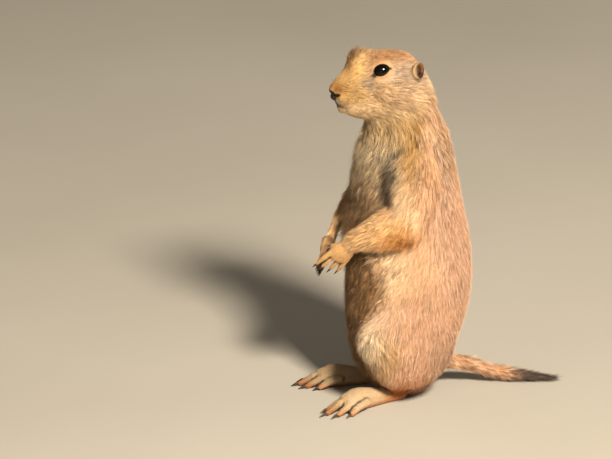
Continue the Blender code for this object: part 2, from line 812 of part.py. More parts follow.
class Leg:
    """The lower hind leg: shank, foot with five toes, and claws."""

    TOE_SPREAD = (-8.2, -4.4, -0.2, 4.8, 8.8)  # across the ball, inner toe first
    TOE_LENGTH = (15.0, 21.0, 22.5, 21.0, 15.0)
    TOE_HALF = (3.0, 2.75, 2.0)  # half thickness at root, middle and tip
    TOE_FAN = 0.020  # how much each toe spreads for its place across the foot
    TOE_ROOT_SHARE = 0.66  # of the foot's length, for the middle toe
    TOE_ROOT_HEIGHT = 10.8
    TOE_TIP_HEIGHT = 2.6
    CLAW_LENGTH = 7.0

    # Sole stations: share of the foot's length, height, half width, half height.
    SOLE_ROWS = (
        (0.00, 6.0, 5.2, 6.4),
        (0.24, 6.2, 5.6, 6.6),
        (0.44, 7.0, 7.0, 7.6),
        (0.60, 8.0, 8.8, 8.4),
        (0.72, 6.8, 9.2, 6.8),
    )

    def __init__(self, label, side, knee, ankle, heel, toe_end):
        self.label = label
        self.knee = Vector(knee)
        self.ankle = Vector(ankle)
        self.heel = Vector(heel)
        self.ahead = (Vector(toe_end) - self.heel).normalized()
        self.outward = Vector((0, 0, 1)).cross(self.ahead)
        if self.outward.x * side < 0:
            self.outward.negate()

    def at(self, share, up):
        """A point along the foot, as a share of its length, at a height."""
        return self.heel + self.ahead * (share * FOOT_LENGTH) + Vector((0, 0, up))

    def shank(self, name, collection, extra=(0.0,) * 4, **detail):
        """Knee to ankle."""
        mid = self.knee.lerp(self.ankle, 0.5) + Vector((0, 2.0, 0))
        sizes = ((11.0, 14.0), (10.5, 13.0), (7.5, 9.5))
        rows = along((self.knee, mid, self.ankle), sizes, extra)
        return loft(name, rows, collection, **detail)

    def toe_points(self):
        """Root, middle and tip of each toe."""
        toes = []
        for spread, length in zip(self.TOE_SPREAD, self.TOE_LENGTH):
            share = self.TOE_ROOT_SHARE - abs(spread) * 0.012
            fan = (self.ahead + self.outward * (spread * self.TOE_FAN)).normalized()
            root_height = self.TOE_ROOT_HEIGHT - abs(spread) * 0.35
            root = self.at(share, root_height) + self.outward * spread
            tip = root + fan * length
            tip.z = self.TOE_TIP_HEIGHT
            middle = root.lerp(tip, 0.55) + Vector((0, 0, 1.2))
            toes.append((root, middle, tip))
        return toes

    def foot(self, nodes, helpers):
        """Sole and toes, flat where they meet the floor."""
        rows = [(*self.at(share, up), wide, high) for share, up, wide, high in self.SOLE_ROWS]
        pieces = [loft("sole", rows, helpers, self.outward, sides=20)]
        for digit in self.toe_points():
            pieces.append(make_digit("toe", digit, self.TOE_HALF, helpers))
        foot = thinned(union_of("foot_" + self.label, pieces, nodes), 600)
        trim_to_floor(foot, helpers)
        return foot

    def claws(self, foot, nodes):
        """Stout dark claws that just clear the floor, seated on the toe ends."""
        made = []
        for k, (_, middle, tip) in enumerate(self.toe_points(), 1):
            way = (tip - middle).normalized()
            way.z = -0.06
            way.normalize()
            length = self.CLAW_LENGTH * (0.85 if k in (1, 5) else 1.0)
            end = tip + way * length
            end.z = 0.7
            name = f"claw_foot_{self.label}_{k}"
            claw = make_claw(name, tip - way * 0.4, end, Vector((0, 0, 0.7)), 1.3, nodes)
            made.append(seated(claw, foot, way))
        return made


def trim_to_floor(obj, helpers):
    """Give the object a flat where it would sink into the floor."""
    middle = Vector((0, 0, -FLOOR_CUT))
    floor = slab("floor", (middle, Vector((0, 0, 1))), 300.0, helpers, 2 * FLOOR_CUT)
    boolean(obj, floor, "DIFFERENCE")
    discard(floor)


# ---------------------------------------------------------------- whole animal

ARMS = (
    Arm(
        "left",
        1,
        ((31, -6, 187), (42, -13, 149), (22, -50.5, 132.5), (15.5, -59, 120.2)),
        (-0.4, -0.15, -0.35),
        0,
        ((9.0, 14.0), (12.5, 18.5), (12.5, 18.0), (10.5, 14.5)),
        ((10.0, 14.5), (9.6, 15.0), (7.8, 12.4), (6.2, 9.4)),
    ),
    Arm(
        "right",
        -1,
        ((-31, -8, 187), (-37, -29.5, 146), (-17, -55.5, 120.5), (-11, -60.5, 114)),
        (0.3, -0.4, -0.4),
        -48,
        ((9.0, 14.0), (12.5, 16.5), (10.5, 10.5), (8.0, 7.0)),
        ((8.0, 6.6), (7.4, 6.0), (5.8, 5.2), (5.0, 4.6)),
    ),
)
LEGS = (
    Leg("left", 1, (38, -33, 52), (19, -11, 13), (15.5, -9, 0), (33, -75, 0)),
    Leg("right", -1, (-35, -22, 50), (-21, -10, 13), (-19, -9, 0), (-31.5, -74, 0)),
)


def centre_on_floor(objects):
    """Put the origin on the floor, in the middle of the bounding box."""
    points = np.array([vert.co for obj in objects for vert in obj.data.vertices])
    middle = (points.min(axis=0) + points.max(axis=0)) / 2
    middle[2] = points[:, 2].min()
    for obj in objects:
        obj.data.transform(Matrix.Translation(-Vector(middle)))


def firmness(point):
    """The head keeps most of its shape when the trunk is softened."""
    rise = (point.z / MM - 216.0) / 20.0
    return 0.55 * min(max(rise, 0.0), 1.0)


def build():
    """Make every node."""
    clear_scene()
    nodes = new_collection("prairie_dog")
    helpers = new_collection("helpers")
    paint = finishes()

    pieces = trunk_pieces(helpers) + head_pieces(helpers)
    for arm in ARMS:
        pieces += [arm.upper_arm("upper", helpers), arm.forearm("fore", helpers)]
    pieces += [leg.shank("shin", helpers) for leg in LEGS]
    body = melted("body", pieces, 1.1, 14, helpers, firmness)
    coarse = thinned(copy_of(body, "coarse", helpers), TRUNK_TRIANGLES)
    fine = thinned(body, HEAD_TRIANGLES)

    head = above(fine, HEAD_CUT, "head", nodes, helpers)
    trunk = below(coarse, HEAD_CUT, "trunk", helpers, helpers)
    trim_to_floor(trunk, helpers)
    shanks, forearms, uppers, thighs = [], [], [], []
    for leg in LEGS:
        region = leg.shank("region", helpers, END_REGION_GROWTH, **REGION_DETAIL)
        shanks.append(part_by(trunk, region, "shank_" + leg.label, nodes, helpers))
    for arm in ARMS:
        region = arm.forearm("region", helpers, END_REGION_GROWTH, **REGION_DETAIL)
        forearms.append(part_by(trunk, region, "forearm_" + arm.label, nodes, helpers))
    for arm in ARMS:
        region = arm.upper_arm("region", helpers, REGION_GROWTH, **REGION_DETAIL)
        uppers.append(part_by(trunk, region, "upper_arm_" + arm.label, nodes, helpers))
    for leg, haunch in zip(LEGS, HAUNCHES):
        region = thigh_region(haunch, helpers)
        thighs.append(part_by(trunk, region, "thigh_" + leg.label, nodes, helpers))
    neck = above(trunk, NECK_CUT, "neck", nodes, helpers)
    torso = below(trunk, NECK_CUT, "torso", nodes, helpers)
    discard(fine, coarse, trunk)
    for obj in (neck, torso, *shanks, *forearms, *uppers, *thighs):
        thinned(cleaned(obj), round(AFTER_CUTS * triangles(obj)))

    for side in (1, -1):
        add_lids(head, side, helpers)
    cut_mouth(head, helpers)
    cut_nostrils(head, helpers)
    eyes = [make_eye(1, "left", nodes), make_eye(-1, "right", nodes)]
    nose = make_nose(head, nodes)
    ears = [
        make_ear(1, "left", head, nodes, helpers),
        make_ear(-1, "right", head, nodes, helpers),
    ]

    tail = loft("tail", TAIL_ROWS, helpers, sides=14, steps=2, rings=3)
    trim_to_floor(tail, helpers)
    clear_of(tail, [torso], helpers)
    tail_base = below(tail, TAIL_CUT, "tail_base", nodes, helpers)
    tail_tip = above(tail, TAIL_CUT, "tail_tip", nodes, helpers)
    discard(tail)

    coats = [torso, neck, head, *ears, tail_base]
    coats += shanks + forearms + uppers + thighs
    pale, claws = [], []
    for leg, shank, thigh in zip(LEGS, shanks, thighs):
        foot = clear_of(leg.foot(nodes, helpers), [shank, torso, thigh], helpers)
        pale.append(foot)
        claws += leg.claws(foot, nodes)
    for arm, forearm in zip(ARMS, forearms):
        hand = clear_of(arm.hand(nodes, helpers), [forearm], helpers)
        pale.append(hand)
        claws += arm.claws(hand, nodes)

    dressed = (
        ("sandy_coat", coats),
        ("pale_coat", pale),
        ("dark_tail", [tail_tip]),
        ("eye", eyes),
        ("claw", claws),
        ("nose", [nose]),
    )
    for slot, members in dressed:
        for obj in members:
            obj.data.materials.clear()
            obj.data.materials.append(paint[slot])
            obj.data.shade_smooth()
            obj.data.set_sharp_from_angle(angle=math.radians(40))
    centre_on_floor(nodes.objects)
    bpy.data.collections.remove(helpers)


build()
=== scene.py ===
"""Looks of a life-size prairie dog: one skin, its coat, its face and a plain studio.

Lengths in the tables are in millimetres.  The body frame's origin lies on the floor
under the middle of the trunk, the animal faces -y in it and its left side is +x.  The
head frame has the same axes, turned with the head, and its origin between the ears.
"""

import logging
import math
from collections.abc import Callable
from dataclasses import dataclass, field
from enum import Enum

import bmesh
import bpy
import numpy as np
from mathutils import Matrix, Vector
from mathutils.bvhtree import BVHTree
from mathutils.kdtree import KDTree


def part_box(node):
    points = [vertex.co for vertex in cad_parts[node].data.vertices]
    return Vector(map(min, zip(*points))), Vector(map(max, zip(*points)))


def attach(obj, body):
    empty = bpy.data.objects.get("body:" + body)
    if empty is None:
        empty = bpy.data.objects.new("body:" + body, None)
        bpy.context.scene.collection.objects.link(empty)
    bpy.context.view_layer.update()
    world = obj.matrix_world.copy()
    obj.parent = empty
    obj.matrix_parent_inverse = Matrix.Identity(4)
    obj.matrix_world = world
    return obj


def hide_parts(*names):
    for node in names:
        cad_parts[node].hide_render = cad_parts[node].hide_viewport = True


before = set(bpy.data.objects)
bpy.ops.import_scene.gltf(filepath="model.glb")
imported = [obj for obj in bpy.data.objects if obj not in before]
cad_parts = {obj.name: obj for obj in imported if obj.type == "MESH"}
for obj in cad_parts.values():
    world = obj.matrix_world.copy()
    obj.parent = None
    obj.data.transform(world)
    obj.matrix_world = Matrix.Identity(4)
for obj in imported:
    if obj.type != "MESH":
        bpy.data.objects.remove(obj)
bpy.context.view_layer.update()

LOG = logging.getLogger("prairie_dog")
MM = 0.001
TURN = 2.0 * math.pi
TINT = "tint"
UNDERCOAT = 0.78  # brightness of skin and hair roots, as a share of the markings

Array = np.ndarray
Colour = tuple[float, float, float]
Triple = tuple[float, float, float]


# ---------------------------------------------------------------- small tools


def smoothstep(low: float, high: float, value: Array) -> Array:
    """A soft step.

    Args:
        low: Where the step starts; more than high for a falling step.
        high: Where it ends.
        value: What it is taken of.

    Returns:
        0 before low, 1 past high, and a smooth rise between them.
    """
    share = np.clip((value - low) / (high - low), 0.0, 1.0)
    return share * share * (3.0 - 2.0 * share)


def unit(vectors: Array) -> Array:
    """Rows scaled to length one.

    Args:
        vectors: Rows of three numbers.

    Returns:
        The unit rows.
    """
    lengths = np.linalg.norm(vectors, axis=-1, keepdims=True)
    return vectors / np.maximum(lengths, 1e-12)


def mixed(first: Array | Colour, second: Array | Colour, weight: Array) -> Array:
    """A blend of rows.

    Args:
        first: Rows, or one row, at weight 0.
        second: Rows, or one row, at weight 1.
        weight: One share for each row.

    Returns:
        The blended rows.
    """
    share = np.clip(weight, 0.0, 1.0)[:, None]
    return np.asarray(first) * (1.0 - share) + np.asarray(second) * share


def dimmed(colour: Array | Colour, share: Array) -> Array:
    """Darker colours.

    Args:
        colour: Rows, or one row.
        share: What is taken off each row; below 0 the row gets lighter.

    Returns:
        The changed rows.
    """
    return np.asarray(colour) * (1.0 - share)[:, None]


def folded(points: Array) -> Array:
    """Points with those of the right side mirrored onto the left.

    Args:
        points: Rows of three numbers.

    Returns:
        Rows with no negative first number.
    """
    return np.column_stack([np.abs(points[:, 0]), points[:, 1:]])


@dataclass(frozen=True)
class Oval:
    """A soft region round a landmark, in millimetres.

    Attributes:
        centre: Its middle.
        half: Its half sizes.
    """

    centre: Triple
    half: Triple

    def share(self, points: Array) -> Array:
        """How near points are to the middle.

        Args:
            points: Rows of three numbers.

        Returns:
            1 at the middle, about 0.37 at the oval's surface and 0 far away.
        """
        gap = (points - np.array(self.centre)) / np.array(self.half)
        return np.exp(-(gap * gap).sum(axis=1))


def waves(points: Array, size: float, seed: int) -> Array:
    """Smooth random waves through space.

    Args:
        points: Rows of three numbers.
        size: Typical length of a wave, in the points' unit.
        seed: Picks the waves.

    Returns:
        One number for each point, mostly between -1 and 1.
    """
    trains, calm = 7, 3.0
    draw = np.random.default_rng(seed)
    total = np.zeros(len(points))
    for _ in range(trains):
        way = unit(draw.normal(size=3))
        pitch = size * draw.uniform(0.7, 1.5)
        total += np.sin(points @ way * (TURN / pitch) + draw.uniform(0.0, 6.3))
    return total / calm


def turned(direction: Array, axis: Array, angle: Array) -> Array:
    """Directions turned in the plane that they span with axis.

    Args:
        direction: Unit rows.
        axis: Unit rows square to them, towards which they turn.
        angle: Radians, one for each row.

    Returns:
        The turned unit rows.
    """
    return direction * np.cos(angle)[:, None] + axis * np.sin(angle)[:, None]


def distance_to_line(points: Array, rows: tuple[Triple, ...]) -> Array:
    """How far points are from a line through rows.

    Args:
        points: Rows of three numbers.
        rows: Points along the line.

    Returns:
        The distances.
    """
    best = np.full(len(points), 1e9)
    for start, end in zip(rows, rows[1:]):
        first = np.array(start)
        way = np.array(end) - first
        share = np.clip((points - first) @ way / (way @ way), 0.0, 1.0)
        gap = np.linalg.norm(points - first - share[:, None] * way, axis=1)
        best = np.minimum(best, gap)
    return best


# ---------------------------------------------------------------- meshes


def placed(name: str, data: bpy.types.ID) -> bpy.types.Object:
    """A new object in the scene.

    Args:
        name: Its name.
        data: Its mesh, light or camera.

    Returns:
        The object.
    """
    obj = bpy.data.objects.new(name, data)
    bpy.context.scene.collection.objects.link(obj)
    return obj


def modified(
    points: Array, faces: Array, modify: Callable[[bpy.types.Object], None]
) -> tuple[Array, Array]:
    """A mesh after a modifier.

    Args:
        points: Vertices.
        faces: Triangles.
        modify: Adds the modifier to an object with this mesh.

    Returns:
        Vertices and triangles of the result.
    """
    mesh = bpy.data.meshes.new("work")
    mesh.from_pydata(points.tolist(), [], faces.tolist())
    work = placed("work", mesh)
    modify(work)
    depsgraph = bpy.context.evaluated_depsgraph_get()
    result = bpy.data.meshes.new_from_object(work.evaluated_get(depsgraph))
    bpy.data.objects.remove(work)
    return read_mesh(result)


def read_mesh(mesh: bpy.types.Mesh) -> tuple[Array, Array]:
    """Vertices and triangles of a mesh, which is then removed.

    Args:
        mesh: The mesh.

    Returns:
        Vertices and triangles.
    """
    points = np.empty(len(mesh.vertices) * 3)
    mesh.vertices.foreach_get("co", points)
    mesh.calc_loop_triangles()
    faces = np.empty(len(mesh.loop_triangles) * 3, dtype=np.int32)
    mesh.loop_triangles.foreach_get("vertices", faces)
    bpy.data.meshes.remove(mesh)
    return points.reshape(-1, 3), faces.reshape(-1, 3)


def write_mesh(
    name: str, points: Array, faces: Array, tint: Array, uv: Array | None = None
) -> bpy.types.Object:
    """An object from arrays, smooth where it has no map, as tufts do.

    Args:
        name: Its name.
        points: Vertices, in metres.
        faces: Triangles.
        tint: A colour for each vertex.
        uv: Two numbers for each corner of each triangle, or nothing.

    Returns:
        The object, linked to the scene.
    """
    mesh = bpy.data.meshes.new(name)
    mesh.vertices.add(len(points))
    mesh.vertices.foreach_set("co", np.ascontiguousarray(points, dtype=np.float32).ravel())
    mesh.loops.add(faces.size)
    mesh.loops.foreach_set("vertex_index", np.ascontiguousarray(faces, dtype=np.int32).ravel())
    mesh.polygons.add(len(faces))
    mesh.polygons.foreach_set("loop_start", np.arange(0, faces.size, 3, dtype=np.int32))
    if uv is not None:
        layer = mesh.uv_layers.new(name="OFBake")
        layer.data.foreach_set("uv", np.ascontiguousarray(uv, dtype=np.float32).ravel())
    colours = mesh.attributes.new(TINT, "FLOAT_COLOR", "POINT")
    rows = np.ones((len(points), 4), dtype=np.float32)
    rows[:, :3] = np.clip(tint, 0.0, 1.0)
    colours.data.foreach_set("color", rows.ravel())
    mesh.update(calc_edges=True)
    if uv is None:
        mesh.shade_smooth()
    else:
        mesh.shade_flat()
    return placed(name, mesh)


def tube_faces(rings: int, sides: int, closed: bool) -> Array:
    """Triangles between rings of vertices.

    Args:
        rings: How many rings.
        sides: Vertices of a ring.
        closed: Whether the last ring joins the first.

    Returns:
        Triangles.
    """
    steps = rings if closed else rings - 1
    ring, side = np.meshgrid(np.arange(steps), np.arange(sides), indexing="ij")
    ring, side = ring.ravel(), side.ravel()
    after = (ring + 1) % rings
    beside = (side + 1) % sides
    a = ring * sides + side
    b = ring * sides + beside
    c = after * sides + beside
    d = after * sides + side
    return np.vstack([np.column_stack([a, b, c]), np.column_stack([a, c, d])])


def tube(middle: Array, wide: Array, sides: int, closed: bool) -> tuple[Array, Array]:
    """A round tube along a line.

    Args:
        middle: Rows along it.
        wide: Its radius at each of them.
        sides: How many sides it has.
        closed: Whether the line is a loop; otherwise both ends are capped.

    Returns:
        Vertices and triangles.
    """
    if closed:
        along = unit(np.roll(middle, -1, axis=0) - np.roll(middle, 1, axis=0))
        guide = middle - middle.mean(axis=0)
    else:
        along = unit(np.gradient(middle, axis=0))
        guide = np.tile((0.13, 0.41, 0.9), (len(middle), 1))
    first = unit(np.cross(along, guide))
    second = np.cross(along, first)
    turn = np.linspace(0.0, TURN, sides, endpoint=False)[None, :, None]
    ring = first[:, None] * np.cos(turn) + second[:, None] * np.sin(turn)
    points = (middle[:, None] + ring * wide[:, None, None]).reshape(-1, 3)
    faces = tube_faces(len(middle), sides, closed)
    if not closed:
        last = (len(middle) - 1) * sides
        fan = np.arange(1, sides - 1)
        start = np.column_stack([np.zeros_like(fan), fan + 1, fan])
        end = np.column_stack([np.full_like(fan, last), last + fan, last + fan + 1])
        faces = np.vstack([faces, start, end])
    return points, faces


def outward(points: Array, faces: Array) -> Array:
    """Faces wound so that a closed mesh faces outwards.

    Args:
        points: Vertices.
        faces: Triangles, all wound alike.

    Returns:
        The triangles, turned over where their volume is negative.
    """
    a, b, c = (points[faces[:, k]] - points.mean(axis=0) for k in range(3))
    volume = (a * np.cross(b, c)).sum()
    return faces if volume > 0.0 else faces[:, ::-1]


# ---------------------------------------------------------------- posture


class Side(Enum):
    """The two sides of the animal."""

    LEFT = 1
    RIGHT = -1

    @property
    def label(self) -> str:
        """Lower-case name, as nodes use it."""
        return self.name.lower()


@dataclass(frozen=True)
class Posture:
    """Where the body and the head stand, worked out from the fixed solids.

    Attributes:
        body_origin: The body frame's origin; its axes are the scene's.
        head: The head frame.
    """

    body_origin: Vector
    head: Matrix

    HEAD_YAW = -10.0
    HEAD_ROLL = -12.0
    HEAD_PLACE = Vector((0.0, 8.0, 264.0))
    EYE_PLACE = Vector((13.8, -29.1, -7.2))

    @classmethod
    def read(cls) -> "Posture":
        """Finds body and head from the two eyes.

        Returns:
            The posture.
        """
        corners = [Vector(corner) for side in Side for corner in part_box("eye_" + side.label)]
        yaw = Matrix.Rotation(math.radians(cls.HEAD_YAW), 3, "Z")
        turn = yaw @ Matrix.Rotation(math.radians(cls.HEAD_ROLL), 3, "Y")
        between = Vector((0.0, cls.EYE_PLACE.y, cls.EYE_PLACE.z)) * MM
        place = sum(corners, Vector()) / len(corners) - turn @ between
        head = Matrix.Translation(place) @ turn.to_4x4()
        return cls(place - cls.HEAD_PLACE * MM, head)

    def turn(self) -> Array:
        """The head's axes, a 3 by 3 array whose columns are its left, back and up."""
        return np.array(self.head.to_3x3())

    def in_body(self, points: Array) -> Array:
        """Points in the body frame.

        Args:
            points: Rows in metres.

        Returns:
            Rows in millimetres.
        """
        return (points - np.array(self.body_origin)) / MM

    def in_head(self, points: Array) -> Array:
        """Points in the head frame.

        Args:
            points: Rows in metres.

        Returns:
            Rows in millimetres.
        """
        return (points - np.array(self.head.translation)) @ self.turn() / MM

    def from_head(self, points: Array) -> Array:
        """Points of the head frame, in metres.

        Args:
            points: Rows in millimetres.

        Returns:
            Rows in metres.
        """
        return np.asarray(points) * MM @ self.turn().T + np.array(self.head.translation)


# ---------------------------------------------------------------- coat by region


@dataclass(frozen=True)
class Fur:
    """The coat on one piece of the body.

    Attributes:
        depth: From the skin to the tips of the coat.
        length: Of one tuft.
        width: Of one tuft at its root.
        density: Tufts on a square millimetre, before they are shared out.
        lie: The way it points, in the body frame.
        smooth: How often the skin is relaxed there.
        fine: Whether the skin keeps its finest faces there.
    """

    depth: float
    length: float
    width: float
    density: float
    lie: Triple
    smooth: int = 16
    fine: bool = False


def fur_table() -> dict[str, Fur]:
    """The coat of every piece of flesh.

    Returns:
        The coat by node name.
    """
    table = {
        "head": Fur(1.5, 4.6, 0.27, 3.4, (0.0, 1.0, -0.15), 10, True),
        "neck": Fur(2.5, 8.8, 0.38, 2.2, (0.0, 0.10, -1.0)),
        "torso": Fur(1.8, 6.4, 0.31, 2.1, (0.0, -0.05, -1.0), 20),
        "tail_base": Fur(1.9, 8.6, 0.40, 2.6, (0.10, 0.97, -0.20)),
        "tail_tip": Fur(1.8, 7.4, 0.38, 3.4, (0.22, 0.95, -0.18), 10),
    }
    arms = {
        Side.LEFT: ((-0.05, -0.55, -0.83), (-0.45, -0.80, -0.42), (-0.42, -0.45, -0.79)),
        Side.RIGHT: ((0.05, -0.60, -0.80), (0.42, -0.76, -0.52), (0.43, -0.40, -0.81)),
    }
    legs = {
        Side.LEFT: ((0.05, -0.30, -0.95), (-0.22, 0.30, -0.93), (0.22, -0.97, -0.08)),
        Side.RIGHT: ((-0.05, -0.30, -0.95), (0.18, 0.24, -0.95), (-0.22, -0.97, -0.08)),
    }
    for side in Side:
        name = side.label
        upper, fore, hand = arms[side]
        thigh, shank, foot = legs[side]
        table["upper_arm_" + name] = Fur(2.4, 9.6, 0.37, 2.2, upper)
        table["forearm_" + name] = Fur(1.9, 7.8, 0.35, 2.5, fore, 12)
        table["hand_" + name] = Fur(0.3, 1.9, 0.26, 2.4, hand, 3, True)
        table["thigh_" + name] = Fur(1.8, 6.2, 0.31, 2.1, thigh, 20)
        table["shank_" + name] = Fur(1.7, 6.0, 0.32, 2.3, shank, 14)
        table["foot_" + name] = Fur(0.3, 2.1, 0.28, 2.2, foot, 3, True)
        table["ear_" + name] = Fur(0.25, 1.5, 0.24, 3.6, (0.25 * side.value, 0.35, 0.9), 3, True)
    return table


# ---------------------------------------------------------------- skin


@dataclass
class Surface:
    """A closed triangle mesh with what the coat needs at each vertex.

    Attributes:
        points: Vertices, in metres.
        faces: Three vertex numbers a row.
        labels: For each vertex, the number of the node that it belongs to.
        names: Node names, by number.
        edges: Two vertex numbers a row, each edge once.
        links: How many neighbours each vertex has.
    """

    points: Array
    faces: Array
    labels: Array
    names: list[str]
    edges: Array = field(init=False)
    links: Array = field(init=False)

    def __post_init__(self) -> None:
        """Finds the edges and how many neighbours each vertex has."""
        pairs = np.vstack([self.faces[:, [0, 1]], self.faces[:, [1, 2]], self.faces[:, [2, 0]]])
        pairs = np.sort(pairs, axis=1)
        self.edges = np.unique(pairs, axis=0)
        count = np.bincount(self.edges.ravel(), minlength=len(self.points))
        self.links = np.maximum(count, 1)

    def averaged(self, values: Array) -> Array:
        """The mean over each vertex's neighbours.

        Args:
            values: One number or one row for each vertex.

        Returns:
            Means in the same shape.
        """
        first, second = self.edges.T
        size = len(self.points)
        columns = values.reshape(size, -1)
        total = np.empty_like(columns)
        for k in range(columns.shape[1]):
            column = columns[:, k]
            total[:, k] = np.bincount(first, column[second], size)
            total[:, k] += np.bincount(second, column[first], size)
        total /= self.links[:, None]
        return total.reshape(values.shape)

    def blurred(self, values: Array, rounds: int) -> Array:
        """Values smoothed over the surface.

        Args:
            values: One number or one row for each vertex.
            rounds: How often they are averaged.

        Returns:
            The smoothed values.
        """
        for _ in range(rounds):
            values = 0.5 * values + 0.5 * self.averaged(values)
        return values

    def relax(self, rounds: Array, strength: float = 0.5) -> None:
        """Smooths the shape itself.

        Args:
            rounds: How often, for each vertex.
            strength: How far a vertex moves to the middle of its neighbours.
        """
        for k in range(int(rounds.max())):
            pull = np.where(rounds > k, strength, 0.0)[:, None]
            self.points += pull * (self.averaged(self.points) - self.points)

    def normals(self) -> Array:
        """Unit normals at the vertices, weighted by face area.

        Returns:
            One row for each vertex.
        """
        a, b, c = (self.points[self.faces[:, k]] for k in range(3))
        cross = np.cross(b - a, c - a)
        total = np.zeros_like(self.points)
        for k in range(3):
            for axis in range(3):
                total[:, axis] += np.bincount(self.faces[:, k], cross[:, axis], len(self.points))
        return unit(total)

    def areas(self) -> Array:
        """Area of each face, in square metres."""
        a, b, c = (self.points[self.faces[:, k]] for k in range(3))
        return 0.5 * np.linalg.norm(np.cross(b - a, c - a), axis=1)

    def of(self, *starts: str) -> Array:
        """Which vertices belong to the nodes whose names start as given.

        Args:
            *starts: Starts of node names.

        Returns:
            1.0 where they do, otherwise 0.0.
        """
        chosen = np.array([name.startswith(starts) for name in self.names], dtype=float)
        return chosen[self.labels]

    def share(self, rounds: int, *starts: str) -> Array:
        """The nodes whose names start as given, with a soft edge.

        Args:
            rounds: How often the edge is averaged.
            *starts: Starts of node names.

        Returns:
            1.0 well inside them and 0.0 well outside.
        """
        return self.blurred(self.of(*starts), rounds)


